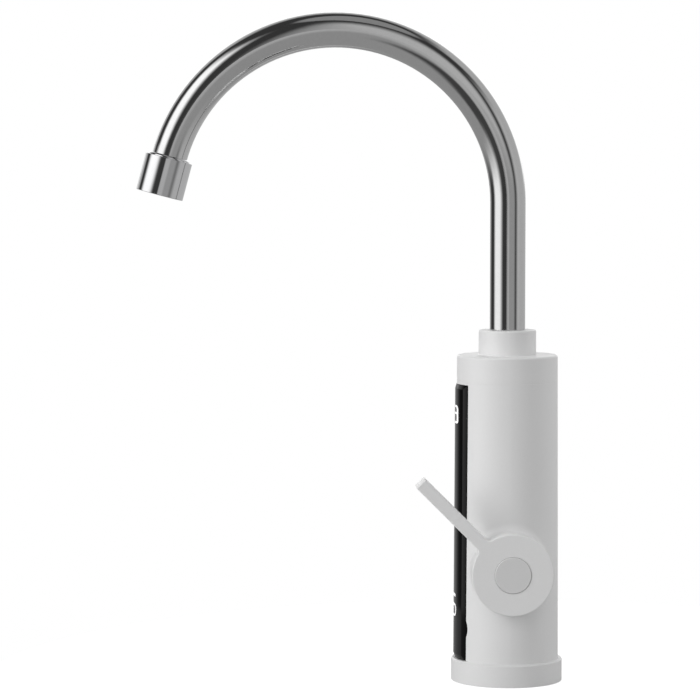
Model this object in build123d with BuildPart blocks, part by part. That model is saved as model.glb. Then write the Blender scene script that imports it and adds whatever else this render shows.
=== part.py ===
"""Electric instant water heater tap: white moulded body, steel gooseneck spout, side lever.

Millimetres. +Z is up, the origin is the centre of the inlet thread at the deck plane,
the spout and the display panel look along -Y and the lever is on the +X side.
"""

from build123d import *
from math import cos, radians, sin, sqrt
import os

os.makedirs("parts", exist_ok=True)

# Clearances
FACE_GAP = 0.3            # between covers that must not bind
SLIP = 0.05               # radial, between a fixed piece and its seat
RUN = 0.06                # radial, between a turning piece and its bearing
SCREW_GAP = 0.1           # radial, round a screw in its hole
RING_PLAY = 0.02          # between a squeezed rubber ring and its groove
PAST = 10.0               # how far a blank or a cut runs past the outer surface

# Casing: a drafted tube with a side boss and a recess for the front panel
BODY_FOOT_R = 29.3
BODY_TOP_R = 28.45
BODY_TOP_Z = 185.0
CAP_H = 15.0              # height of the top cap below its upper face
SEAM_Z = BODY_TOP_Z - CAP_H
SEAM_EDGE = 0.1
WALL = 2.6
POST_R = 3.3              # screw posts that stand on the base floor
POST_H = 16.0             # above the casing's foot
POST_ROOT = 0.6           # the posts run this far into the casing wall

# Base ring and what stands on the deck
BASE_LIP = 2.2            # ring beyond the casing's foot
BASE_R = BODY_FOOT_R + BASE_LIP
BASE_H = 12.8
BASE_WALL = 3.6
BASE_UPPER_WALL = 3.2     # between the floor and the ledge
BASE_EDGE = 0.9           # outer chamfer at the ring's top
BASE_LEDGE_T = 2.6        # inward ledge that carries the casing
BASE_LEDGE_LAP = 1.6      # how far the ledge reaches in under the casing wall
FLOOR_T = 3.0
GASKET_T = 3.0            # deck gasket, flush with the rim's underside
GASKET_W = 3.0
BASE_SCREW_R = 1.5
BASE_SCREW_L = 20.0
BASE_SCREW_HEAD_R = 2.8
BASE_SCREW_HEAD_T = 1.6
BASE_SCREW_CIRCLE = BODY_FOOT_R - WALL - POST_R + POST_ROOT
BASE_SCREW_ANGLES = (30, 150, 270)
BASE_SCREW_SINK = 0.2     # head above the underside of the floor
BASE_SCREW_SLOT_L = 3.3
BASE_SCREW_SLOT_W = 0.6
BASE_SCREW_SLOT_T = 1.0

# Top cap with the collar that the spout turns in
CAP_PLATE_T = 2.2
CAP_EDGE_R = 1.3
CAP_SPIGOT_H = 7.0
CAP_SPIGOT_T = 1.8
CAP_SPIGOT_RAMP = 1.0     # slope that joins the spigot to the cap's wall
CAP_HOLE_GAP = 0.15
COLLAR_R = 16.3
COLLAR_DRAFT = 0.1
COLLAR_H = 14.1
COLLAR_TOP_Z = BODY_TOP_Z + COLLAR_H
COLLAR_WALL = 1.9
COLLAR_LIP_T = 2.0
COLLAR_EDGE_R = 0.9
COLLAR_ROOT_R = 0.5

# Front panel and the tape behind it
PANEL_HALF_W = 16.4
PANEL_FOOT_GAP = 0.4      # above the base ring
PANEL_TOP_GAP = 1.4       # below the seam
PANEL_TOP_Z = SEAM_Z - PANEL_TOP_GAP
PANEL_PROUD = 1.0
PANEL_END_PROUD = 0.25    # what the end bevels leave
PANEL_SUNK = 1.0
PANEL_GAP = 0.15          # all round, in the recess
PANEL_END_BEVEL = 2.4
PANEL_SIDE_BEVEL = 2.2
PANEL_SIDE_DROP = 0.7
PANEL_EAR_Z = 31.0        # small round ears on the panel's long edges
PANEL_EAR_CHORD = 9.0
PANEL_EAR_OUT = 1.0
TAPE_T = 0.5
TAPE_GAP = 0.1
TAPE_INSET = 1.0

# Display
DIGIT_DOWN = 16.6         # middle of the number below the panel's top
DIGIT_Z = PANEL_TOP_Z - DIGIT_DOWN
MODULE_W = 18.0
MODULE_H = 16.0
MODULE_T = 3.4
MODULE_EDGE = 0.4
BOARD_W = 22.0
BOARD_T = 1.2
BOARD_CORNER_R = 1.0
BOARD_GAP = 1.1           # between the board's edges and the casing wall
BOARD_FOOT_Z = 30.0
BOARD_TOP_GAP = 9.0       # below the seam
BOARD_TOP_Z = SEAM_Z - BOARD_TOP_GAP
BOARD_POST_R = 2.4
BOARD_POST_X = 8.4
BOARD_POST_UP = 6.0       # lower posts above the board's foot
BOARD_POST_DOWN = 27.0    # upper posts below the board's top
BOARD_POST_Z = (BOARD_FOOT_Z + BOARD_POST_UP, BOARD_TOP_Z - BOARD_POST_DOWN)
BOARD_POST_ROOT = 0.6     # the posts run this far into the casing wall
BOARD_SCREW_R = 0.85
BOARD_SCREW_L = 3.2
BOARD_PILOT_GAP = 0.4     # hole beyond the screw's end
BOARD_SCREW_HEAD_R = 1.8
BOARD_SCREW_HEAD_T = 1.0
LAMP_R = 1.5
LAMP_Z = (40.4, 48.7)
LAMP_L = 4.0
LAMP_NOSE_R = 1.2
LAMP_HOLE_R = 2.2

# Spout
TUBE_R = 10.0
TUBE_WALL = 1.0
ARC_R = 97.0
RISER_H = 85.8            # straight tube above the body, up to the bend
ARC_Z = BODY_TOP_Z + RISER_H
ARC_SWEEP = 165.0
TUBE_SEAT_H = 7.0         # lower end of the tube above the body, inside the collar
TUBE_SEAT_Z = BODY_TOP_Z + TUBE_SEAT_H
NOZZLE_R = 13.4
NOZZLE_L = 21.3
NOZZLE_EDGE_R = 0.3
NOZZLE_SOCKET = 5.0       # how far the tube enters the nozzle
NOZZLE_LIP = 0.3          # thin edge of the hollowed shoulder, against the tube
NOZZLE_SHOULDER_R = 1.4
AERATOR_R = 11.0
AERATOR_DEPTH = 12.5
AERATOR_SUNK = 1.0
AERATOR_WALL = 2.0
AERATOR_PLATE_R = 9.5
AERATOR_PLATE_T = 1.6
AERATOR_HOLE_R = 1.1
AERATOR_HOLE_STEP = 1.9
AERATOR_GASKET_T = 1.4
AERATOR_GASKET_BORE_R = 8.0

# Spout tail and outlet socket
TAIL_FOOT_GAP = 0.6
TAIL_WALL = 2.6
TAIL_EDGE = 0.6
TAIL_SPIGOT_H = 7.0       # brazed into the tube
O_RING_R = 0.9            # section radius of the spout's rubber rings
O_RING_SIDE = 0.27        # room beside each ring in its groove
O_RING_UP = (3.8, 9.3)    # centres above the tail's foot
CLIP_T = 1.4
CLIP_R = 12.0
CLIP_SPLIT = 5.0
CLIP_GROOVE_T = 1.2
CLIP_PLAY = 0.3
SOCKET_R = 12.4
SOCKET_FLANGE_R = 18.0
SOCKET_FLANGE_T = 2.8
SOCKET_FOOT_H = 10.0
SOCKET_FLOOR_T = 1.6
SOCKET_PORT_R = 5.5
SOCKET_RISE = 2.0         # socket rim above the top of the body
SPOUT_NUT_R = 14.0
SPOUT_NUT_LIP_T = 2.0
NUT_SLOT = 2.5            # slots for a ring spanner

# Side lever
LEVER_Z = 65.5
BOSS_R = 22.0
BOSS_PROUD = 6.36         # boss face beyond the body's side
BOSS_BLEND = 5.0
BOSS_EDGE = 0.5
BOSS_WALL = 2.6
DISC_R = 22.9
DISC_GAP = 0.6            # between the boss and the disc
DISC_T = 10.0
DISC_SKIRT_T = 2.6
DISC_FACE_T = 4.0
DISC_EDGE_R = 0.7
ARM_L = 73.0
ARM_W = 7.0
ARM_ROOT_R = 3.5
ARM_CORNER_R = 0.8
ARM_TIP_BEVEL = 1.1
ARM_ANGLE = 45.0          # above the horizontal, towards the front
HUB_R = 6.5
HUB_GAP = 0.5             # between the cartridge's nose and the hub
HUB_BORE_GAP = 0.2        # beyond the stem's end
CAP_R = 10.15             # round cap in the middle of the disc
CAP_GAP = 0.15
CAP_PROUD = 0.4
CAP_SEAT = 2.6
CAP_T = 1.2
CAP_RIM_T = 1.4
CAP_EDGE = 0.35
SPLASH_T = 0.5
SPLASH_W = 1.6
SPLASH_INSET = 0.6

# Ceramic valve cartridge, on the lever's axis
STEM_R = 4.0
STEM_END_DOWN = 1.8       # stem's end below the cap's floor
STEM_PLATE_T = 3.4
STEM_PLATE_W = 7.0
STEM_RING_R = 0.43
STEM_GROOVE_T = 0.85
STEM_GROOVE_W = 1.4
STEM_RING_AT = (9.0, 13.0)   # from the back of the shaft
CERAMIC_T = 3.0
CERAMIC_PLAY = 0.4
PORT_R = 2.6              # water ports through the ceramic discs
PORT_LAND = 1.4           # ceramic between a port and the disc's rim
SEAT_SEAL_T = 1.5
CARTRIDGE_R = 11.0
CARTRIDGE_WALL = 2.0
CARTRIDGE_HEX_AF = 27.0
CARTRIDGE_WINDOW_W = 8.0
CARTRIDGE_RING_R = 0.6
CARTRIDGE_GROOVE_W = 2.2
CARTRIDGE_RING_AT = 2.0
NOSE_R = 11.9
NOSE_EDGE = 0.6
BOSS_NUT_R = 15.5
BOSS_NUT_T = 2.6
LEVER_SCREW_R = 1.95
LEVER_SCREW_L = 11.0
LEVER_SCREW_HEAD_R = 3.5
LEVER_SCREW_HEAD_T = 1.6
LEVER_SCREW_SLOT_L = 4.4
LEVER_SCREW_SLOT_W = 0.9
LEVER_SCREW_SLOT_T = 1.1
LEVER_SCREW_END_GAP = 0.6

# Valve block
BARREL_R = 15.0
BARREL_BACK_X = -17.0
BARREL_MOUTH_X = 24.0
BARREL_SEAT_X = 6.1       # shoulder that the seat seal presses on
BARREL_EDGE = 1.5
CHAMBER_R = 7.0
CHAMBER_BACK_X = -13.0
GALLERY_ROOM = 1.2        # round the cartridge and beside its windows
STUB_R = 11.0
STUB_SOCKET_H = 12.0
FEED_R = 4.5
RISER_ANGLE = 54.0        # port that the pipe to the heater leaves by
RISER_GAP = 1.04          # between its boss and the casing wall
RISER_PORT_R = 2.0
RISER_BOSS_R = 5.0
RISER_BOSS_FOOT = -6.0    # from the lever axis
RISER_BOSS_TOP = 12.0
RISER_SEAT = 4.0
RISER_R = 3.4
RISER_BORE_R = 2.5
RISER_BORE_FOOT = -3.0
RISER_BEND_FOOT = 10.0    # the pipe leans over between these depths under the lid
RISER_BEND_HEAD = 3.5
RISER_BEND_R = 4.0
BRACKET_W = 24.0          # carries the terminal block
BRACKET_T = 2.4
BRACKET_FOOT_Z = 28.0
BRACKET_TOP_Z = 46.0
BRACKET_RIB_W = 6.0

# Flow switch on top of the valve block
CUP_GAP = 1.5             # between the cup and the pipe to the heater
CUP_H = 4.0
CUP_WALL = 4.0
CUP_POCKET_H = 3.0
CUP_CHANNEL_R = 1.5
CUP_CHANNEL_IN = 2.0      # outer channel's middle in from the pocket's wall
CUP_FEED_X = -7.0         # channel from the inlet side
DIAPHRAGM_T = 1.2
DIAPHRAGM_CORE_R = 6.0
COVER_H = 7.8
COVER_FLANGE_T = 3.0
COVER_FLANGE_W = 5.0      # flange beyond the dome
COVER_WALL = 1.7
COVER_ROOF_T = 2.0
COVER_PAD_W = 2.4
COVER_PAD_IN = 1.4        # pad's middle in from the switch's end
COVER_SCREW_IN = 2.3      # screws' middles in from the flange's edge
COVER_SCREW_ANGLES = (45, 135, 225, 315)
COVER_SCREW_R = 1.1
COVER_SCREW_L = 6.5
COVER_SCREW_HEAD_R = 1.9
COVER_SCREW_HEAD_T = 1.4
PIN_R = 1.9
PIN_RISE = 0.4            # pin end above the cover
PIN_EDGE = 0.3
PLATE_GAP = 0.8           # between the pin's plate and the dome's wall
PLATE_T = 1.2
SPRING_R = 3.4
SPRING_WIRE_R = 0.25
SPRING_TURNS = 3
SPRING_ROUND = 0.93       # share of the radius that rounds each corner of the spring
SWITCH_TRAVEL = 1.2
SWITCH_L = 12.8
SWITCH_W = 5.8
SWITCH_H = 6.5
BLADE_L = 2.3             # contact blades at both ends of the switch
BLADE_W = 2.6
BLADE_T = 0.6
PLUNGER_R = 0.9           # red button of the switch
PLUNGER_OUT = 1.3
PLUNGER_EDGE = 0.2
PLUNGER_END_GAP = 0.4

# Heater tank
TANK_INSET = 0.6          # can's side in from the lid's front flat
TANK_WALL = 0.8
TANK_SHOULDER = 5.0
LID_GAP = 1.5             # above the microswitch
LID_T = 6.0
LID_LIP = 4.4             # lid and flange beyond the can
LID_FLAT_GAP = 0.5        # between the display board and the lid's front flat
FLANGE_T = 1.2
SEAL_W = 1.4
SEAL_H = 1.4
TANK_SCREW_OUT = 2.4      # screws' middles beyond the can
TANK_SCREW_ANGLES = (0, 60, 120, 180, 225, 315)
TANK_SCREW_R = 1.2
TANK_SCREW_HEAD_R = 1.9
TANK_SCREW_HEAD_T = 1.4
INLET_PORT = (7.0, 11.5)
COIL_R = 12.8
COIL_TUBE_R = 3.2
COIL_TURNS = 4
COIL_RISE = 10.0          # first turn above the lid
COIL_ROUND = 0.94         # share of the radius that rounds each corner of the coil
COIL_BEND_R = 4.0
COIL_LEG_X = 4.2
COIL_LEG_RUN = 0.2        # straight stretch between the last two bends
TERMINAL_R = 1.4
TERMINAL_L = 5.0
SENSOR_AT = (4.0, -6.0)
SENSOR_R = 1.2
SENSOR_L = 14.0
SENSOR_NOSE_R = 0.9
SENSOR_HEAD_R = 2.4
SENSOR_HEAD_T = 1.6
CUTOUT_W = 12.6
CUTOUT_H = 20.0
CUTOUT_T = 3.8
CUTOUT_UP = 17.3          # above the flange of the tank
CUTOUT_EDGE = 0.6

# Water inlet and cable entry in the base
INLET_R = 9.32            # wall radius of the G1/2 internal thread
INLET_DEPTH = 13.0
INLET_BODY_R = 12.0
INLET_BODY_RISE = 1.0     # above the floor, inside the hexagon
INLET_HEX_AF = 26.0
INLET_HEX_T = 5.0
INLET_NECK_R = 11.0
INLET_TOP_Z = 26.0
INLET_BORE_R = 5.4
SPIGOT_R = 8.0
SPIGOT_H = 10.0
SPIGOT_GROOVE_T = 1.4
SPIGOT_RING_R = 0.75
SPIGOT_RING_SIDE = 0.15   # room beside the ring in its groove
SPIGOT_RING_DOWN = 3.0    # below the spigot's end
INLET_NUT_R = 14.2
INLET_NUT_T = 2.6
FILTER_SEAT_R = 8.6
FILTER_FLANGE_T = 1.0
FILTER_ROOM = 0.6         # between the mesh and the bore round it
FILTER_H = 11.0
FILTER_WALL = 0.8
GLAND_GAP = 1.4           # between the gland's nut and the inlet's hexagon
GLAND_R = 4.2
GLAND_BORE_R = 3.3
GLAND_FLANGE_R = 5.1
GLAND_FLANGE_T = 1.4
GLAND_BODY_H = 8.0
GLAND_EDGE = 0.5
GLAND_NUT_R = 5.2
GLAND_NUT_T = 3.0

# Terminal block on the bracket of the valve block
BLOCK_W = 22.0
BLOCK_T = 8.5
BLOCK_H = 12.0
BLOCK_GAP = 1.04          # between the block's front corners and the casing wall
BLOCK_WAYS = 3
BLOCK_WAY_R = 2.0
BLOCK_EDGE = 1.0


def body_r(z):
    """Outside radius of the drafted body at a height."""
    share = (z - BASE_H) / (BODY_TOP_Z - BASE_H)
    return BODY_FOOT_R + (BODY_TOP_R - BODY_FOOT_R) * share


def room_depth(z, gap, half_w):
    """How far from the body axis a flat piece reaches whose edges keep a gap to the casing wall."""
    return sqrt((body_r(z) - WALL - gap) ** 2 - half_w**2)


# Stations worked out from the sizes above
lever_axis = Axis((0, 0, LEVER_Z), (1, 0, 0))
BOSS_X = body_r(LEVER_Z) + BOSS_PROUD
BLOCK_Z = (BRACKET_FOOT_Z + BRACKET_TOP_Z) / 2
GLAND_Y = INLET_HEX_AF / 2 + GLAND_GAP + GLAND_NUT_R
floor_top = GASKET_T + FLOOR_T
plate_under = BODY_TOP_Z - CAP_PLATE_T
tank_top = plate_under - SOCKET_FLANGE_T - SOCKET_FOOT_H
socket_rim = BODY_TOP_Z + SOCKET_RISE
nut_lip_z = socket_rim + CLIP_T
nut_top = nut_lip_z + SPOUT_NUT_LIP_T
lip_under = COLLAR_TOP_Z - COLLAR_LIP_T
cup_rim = LEVER_Z + BARREL_R + CUP_H
cover_foot = cup_rim + DIAPHRAGM_T
cover_top = cover_foot + COVER_H
pocket_roof = cover_top - COVER_ROOF_T
pin_top = cover_top + PIN_RISE
switch_under = pin_top + FACE_GAP + PLUNGER_OUT
lid_z = switch_under + SWITCH_H + LID_GAP
lid_top = lid_z + LID_T
flange_top = lid_top + FLANGE_T
tail_foot = tank_top + SOCKET_FLOOR_T + TAIL_FOOT_GAP
disc_back_x = BOSS_X + DISC_GAP
disc_front_x = disc_back_x + DISC_T
cap_floor = disc_front_x - CAP_SEAT
stem_end_x = cap_floor - STEM_END_DOWN
nose_end_x = BOSS_X + BOSS_NUT_T + FACE_GAP
hub_back_x = nose_end_x + HUB_GAP
clip_groove_r = TUBE_R - CLIP_GROOVE_T
spigot_groove_r = SPIGOT_R - SPIGOT_GROOVE_T
filter_r = INLET_BORE_R - FILTER_ROOM
cartridge_x = BARREL_SEAT_X + SEAT_SEAL_T
moving_x = cartridge_x + CERAMIC_T
plate_x = moving_x + CERAMIC_T
shaft_x = plate_x + STEM_PLATE_T
boss_wall_x = BOSS_X - BOSS_WALL
recess_depth = PANEL_SUNK + TAPE_T + 2 * TAPE_GAP

# What stands behind the display board: the board, the lid's flat, the tank
BOARD_FRONT = min(room_depth(z, BOARD_GAP, BOARD_W / 2) for z in (BOARD_FOOT_Z, BOARD_TOP_Z))
board_back = BOARD_FRONT - BOARD_T
LID_FLAT = board_back - LID_FLAT_GAP
TANK_R = LID_FLAT - TANK_INSET
LID_R = TANK_R + LID_LIP
TANK_SCREW_CIRCLE = TANK_R + TANK_SCREW_OUT
CUTOUT_Z = flange_top + CUTOUT_UP

# What stands round the pipe to the heater: its boss, the flow switch and the terminal block
riser_circle = body_r(LEVER_Z) - WALL - RISER_GAP - RISER_BOSS_R
RISER_X = riser_circle * cos(radians(RISER_ANGLE))
RISER_Y = riser_circle * sin(radians(RISER_ANGLE))
CUP_R = riser_circle - RISER_R - CUP_GAP
CUP_POCKET_R = CUP_R - CUP_WALL
CUP_CHANNEL_X = (CUP_FEED_X, CUP_POCKET_R - CUP_CHANNEL_IN)
COVER_DOME_R = CUP_R - COVER_FLANGE_W
COVER_POCKET_R = COVER_DOME_R - COVER_WALL
COVER_SCREW_CIRCLE = CUP_R - COVER_SCREW_IN
PLATE_R = COVER_POCKET_R - PLATE_GAP
BRACKET_Y = room_depth(BLOCK_Z, BLOCK_GAP, BLOCK_W / 2 - BLOCK_EDGE) - BLOCK_T - BRACKET_T


def ring_points(radius, angles):
    """Points on a circle round the body axis."""
    return [(radius * cos(radians(a)), radius * sin(radians(a))) for a in angles]


def coil_corners(radius, pitch, quarters, foot):
    """Corners of a square-cornered spiral; fillets of nearly its radius make it round."""
    corners = []
    for k in range(quarters):
        along = (radius, radius, -radius, -radius)[k % 4]
        across = (-radius, radius, radius, -radius)[k % 4]
        corners.append((along, across, foot + pitch * (k + 0.5) / 4))
    return corners


def level(z):
    """Horizontal plane at a height."""
    return Plane.XY.offset(z)


def square_to_lever(x):
    """Plane square to the lever axis, with its origin on that axis."""
    return Plane(origin=(x, 0, LEVER_Z), x_dir=(0, 1, 0), z_dir=(1, 0, 0))


def bar(plane, radius, length, at=((0, 0),), mode=Mode.ADD):
    """Round bars or holes that start on the plane, in the open part."""
    with BuildSketch(plane) as outline:
        with Locations(*at):
            Circle(radius)
    extrude(outline.sketch, amount=length, mode=mode)


def ring(plane, outer_r, inner_r, length, mode=Mode.ADD):
    """Flat ring that starts on the plane, in the open part."""
    with BuildSketch(plane) as outline:
        Circle(outer_r)
        Circle(inner_r, mode=Mode.SUBTRACT)
    extrude(outline.sketch, amount=length, mode=mode)


def turned(corners, mode=Mode.ADD):
    """Closed outline of (radius, z) corners turned about the body axis, in the open part."""
    with BuildSketch(Plane.XZ) as outline:
        with BuildLine():
            Polyline(*corners, close=True)
        make_face()
    revolve(outline.sketch, axis=Axis.Z, mode=mode)


def grooves(centres, width, height, axis=Axis.Z):
    """Square grooves turned out of the open part; the centres lie on its surface."""
    with BuildSketch(Plane.XZ) as outline:
        with Locations(*centres):
            Rectangle(width, height)
    revolve(outline.sketch, axis=axis, mode=Mode.SUBTRACT)


def rubber_rings(centres, radius, axis=Axis.Z):
    """Rings of round section, in the open part."""
    with BuildSketch(Plane.XZ) as outline:
        with Locations(*centres):
            Circle(radius)
    revolve(outline.sketch, axis=axis)


def crosses(plane, long, wide, depth, at=((0, 0),)):
    """Cross recesses cut from the plane into the screw heads of the open part."""
    with BuildSketch(plane) as outline:
        with Locations(*at):
            Rectangle(long, wide)
            Rectangle(wide, long)
    extrude(outline.sketch, amount=depth, mode=Mode.SUBTRACT)


def flat_front(z, height):
    """Cuts the flat behind the display board off the lid or the flange."""
    with BuildSketch(level(z)) as outline:
        with Locations((0, -LID_FLAT)):
            Rectangle(2 * LID_R, LID_R, align=(Align.CENTER, Align.MAX))
    extrude(outline.sketch, amount=height, mode=Mode.SUBTRACT)


def rim(piece, radius, z):
    """Round edges of a piece with this radius and height."""
    round_edges = piece.edges().filter_by(GeomType.CIRCLE)
    return round_edges.filter_by(lambda e: abs(e.radius - radius) < 0.01 and abs(e.arc_center.Z - z) < 0.01)


def panel_outline(foot, top, grow):
    """Upright strip with a small round ear on each long edge, drawn in the open sketch."""
    ear_r = ((PANEL_EAR_CHORD / 2) ** 2 + PANEL_EAR_OUT**2) / (2 * PANEL_EAR_OUT)
    ear_x = PANEL_HALF_W + PANEL_EAR_OUT - ear_r
    with Locations((0, (foot + top) / 2)):
        Rectangle(2 * (PANEL_HALF_W + grow), top - foot + 2 * grow)
    with Locations((ear_x, PANEL_EAR_Z), (-ear_x, PANEL_EAR_Z)):
        Circle(ear_r + grow)


def display_windows():
    """Openings for the number display and the two lamps, drawn in the open sketch."""
    with Locations((0, DIGIT_Z)):
        Rectangle(MODULE_W + 2 * FACE_GAP, MODULE_H + 2 * FACE_GAP)
    with Locations(*lamp_points):
        Circle(LAMP_HOLE_R)


base_screw_points = ring_points(BASE_SCREW_CIRCLE, BASE_SCREW_ANGLES)
cover_screw_points = ring_points(COVER_SCREW_CIRCLE, COVER_SCREW_ANGLES)
tank_screw_points = ring_points(TANK_SCREW_CIRCLE, TANK_SCREW_ANGLES)
board_post_points = [(x, z) for x in (-BOARD_POST_X, BOARD_POST_X) for z in BOARD_POST_Z]
lamp_points = [(0, z) for z in LAMP_Z]
gland_point = ((0, GLAND_Y),)
riser_point = ((RISER_X, RISER_Y),)

# Base ring: a shallow cup whose ledge carries the casing
ledge_r = BODY_FOOT_R - BASE_LEDGE_LAP
screw_seat_z = GASKET_T + BASE_SCREW_SINK
with BuildPart() as base_ring:
    turned(
        (
            (INLET_BODY_R + SCREW_GAP, GASKET_T),
            (BASE_R - BASE_WALL, GASKET_T),
            (BASE_R - BASE_WALL, 0),
            (BASE_R, 0),
            (BASE_R, BASE_H - BASE_EDGE),
            (BASE_R - BASE_EDGE, BASE_H),
            (ledge_r, BASE_H),
            (ledge_r, BASE_H - BASE_LEDGE_T),
            (BASE_R - BASE_UPPER_WALL, BASE_H - BASE_LEDGE_T),
            (BASE_R - BASE_UPPER_WALL, floor_top),
            (INLET_BODY_R + SCREW_GAP, floor_top),
        )
    )
    bar(level(GASKET_T), GLAND_R + SLIP, FLOOR_T, gland_point, Mode.SUBTRACT)
    bar(level(GASKET_T), BASE_SCREW_R + SCREW_GAP, FLOOR_T, base_screw_points, Mode.SUBTRACT)
    head_room = BASE_SCREW_SINK + BASE_SCREW_HEAD_T
    bar(level(GASKET_T), BASE_SCREW_HEAD_R + SCREW_GAP, head_room, base_screw_points, Mode.SUBTRACT)
base_ring.part.label = "base_ring"
export_step(base_ring.part, "parts/base_ring.step")

# Rubber gasket between the base ring and the deck, open where the cable gland needs room
gasket_r = BASE_R - BASE_WALL - SLIP
with BuildPart() as deck_gasket:
    ring(level(0), gasket_r, gasket_r - GASKET_W, GASKET_T)
    bar(level(0), GLAND_FLANGE_R + SCREW_GAP, GASKET_T, gland_point, Mode.SUBTRACT)
deck_gasket.part.label = "deck_gasket"
export_step(deck_gasket.part, "parts/deck_gasket.step")

# Screws that pull the base ring against the casing posts
with BuildPart() as base_screws:
    bar(level(screw_seat_z), BASE_SCREW_HEAD_R, BASE_SCREW_HEAD_T, base_screw_points)
    bar(level(screw_seat_z), BASE_SCREW_R, BASE_SCREW_L, base_screw_points)
    crosses(level(screw_seat_z), BASE_SCREW_SLOT_L, BASE_SCREW_SLOT_W, BASE_SCREW_SLOT_T, base_screw_points)
base_screws.part.label = "base_screws"
export_step(base_screws.part, "parts/base_screws.step")

# Casing: drafted tube, side boss blended into it, screw posts and panel recess
with BuildPart() as panel_recess:
    with BuildSketch(Plane.XZ):
        panel_outline(BASE_H, PANEL_TOP_Z, PANEL_GAP)
    extrude(amount=BODY_FOOT_R + PAST)
    turned(
        (
            (0, BASE_H - PAST),
            (body_r(BASE_H - PAST) - recess_depth, BASE_H - PAST),
            (body_r(SEAM_Z) - recess_depth, SEAM_Z),
            (0, SEAM_Z),
        ),
        mode=Mode.SUBTRACT,
    )

with BuildPart() as casing:
    turned(
        (
            (0, BASE_H),
            (body_r(BASE_H), BASE_H),
            (body_r(SEAM_Z - SEAM_EDGE), SEAM_Z - SEAM_EDGE),
            (body_r(SEAM_Z) - SEAM_EDGE, SEAM_Z),
            (0, SEAM_Z),
        )
    )
    bar(square_to_lever(0), BOSS_R, BOSS_X)
    boss_root = casing.edges().filter_by(lambda e: e.geom_type not in (GeomType.LINE, GeomType.CIRCLE))
    fillet(boss_root, BOSS_BLEND)
    chamfer(casing.faces().filter_by(GeomType.PLANE).sort_by(Axis.X)[-1].edges(), BOSS_EDGE)
    turned(
        (
            (0, BASE_H),
            (body_r(BASE_H) - WALL, BASE_H),
            (body_r(SEAM_Z) - WALL, SEAM_Z),
            (0, SEAM_Z),
        ),
        mode=Mode.SUBTRACT,
    )
    bar(square_to_lever(0), BOSS_R - BOSS_WALL, boss_wall_x, mode=Mode.SUBTRACT)
    bar(square_to_lever(boss_wall_x), NOSE_R + FACE_GAP, BOSS_WALL, mode=Mode.SUBTRACT)
    bar(level(floor_top), POST_R, BASE_H + POST_H - floor_top, base_screw_points)
    bar(level(floor_top), BASE_SCREW_R + SCREW_GAP, BASE_SCREW_L, base_screw_points, Mode.SUBTRACT)
    post_l = max(BODY_FOOT_R, BODY_TOP_R) - WALL - BOARD_FRONT + BOARD_POST_ROOT
    bar(Plane.XZ.offset(BOARD_FRONT), BOARD_POST_R, post_l, board_post_points)
    pilot_l = BOARD_SCREW_L - BOARD_T + BOARD_PILOT_GAP
    bar(Plane.XZ.offset(BOARD_FRONT), BOARD_SCREW_R + SLIP, pilot_l, board_post_points, Mode.SUBTRACT)
    add(panel_recess.part, mode=Mode.SUBTRACT)
    with BuildSketch(Plane.XZ.offset(BOARD_FRONT)):
        display_windows()
    extrude(amount=BODY_FOOT_R, mode=Mode.SUBTRACT)
casing.part.label = "casing"
export_step(casing.part, "parts/casing.step")

# Top cap: closes the casing and carries the spout in its collar
spigot_r = min(body_r(SEAM_Z), body_r(SEAM_Z - CAP_SPIGOT_H)) - WALL - SLIP
with BuildPart() as top_cap:
    turned(
        (
            (SOCKET_R + CAP_HOLE_GAP, plate_under),
            (body_r(plate_under) - WALL, plate_under),
            (body_r(SEAM_Z) - WALL, SEAM_Z + CAP_SPIGOT_RAMP),
            (spigot_r - CAP_SPIGOT_T, SEAM_Z),
            (spigot_r - CAP_SPIGOT_T, SEAM_Z - CAP_SPIGOT_H),
            (spigot_r, SEAM_Z - CAP_SPIGOT_H),
            (spigot_r, SEAM_Z),
            (body_r(SEAM_Z) - SEAM_EDGE, SEAM_Z),
            (body_r(SEAM_Z), SEAM_Z + SEAM_EDGE),
            (BODY_TOP_R, BODY_TOP_Z),
            (COLLAR_R, BODY_TOP_Z),
            (COLLAR_R - COLLAR_DRAFT, COLLAR_TOP_Z),
            (TUBE_R + FACE_GAP, COLLAR_TOP_Z),
            (TUBE_R + FACE_GAP, lip_under),
            (COLLAR_R - COLLAR_WALL, lip_under),
            (COLLAR_R - COLLAR_WALL, BODY_TOP_Z),
            (SOCKET_R + CAP_HOLE_GAP, BODY_TOP_Z),
        )
    )
    fillet(rim(top_cap, BODY_TOP_R, BODY_TOP_Z), CAP_EDGE_R)
    fillet(rim(top_cap, COLLAR_R - COLLAR_DRAFT, COLLAR_TOP_Z), COLLAR_EDGE_R)
    fillet(rim(top_cap, COLLAR_R, BODY_TOP_Z), COLLAR_ROOT_R)
top_cap.part.label = "top_cap"
export_step(top_cap.part, "parts/top_cap.step")

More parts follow.
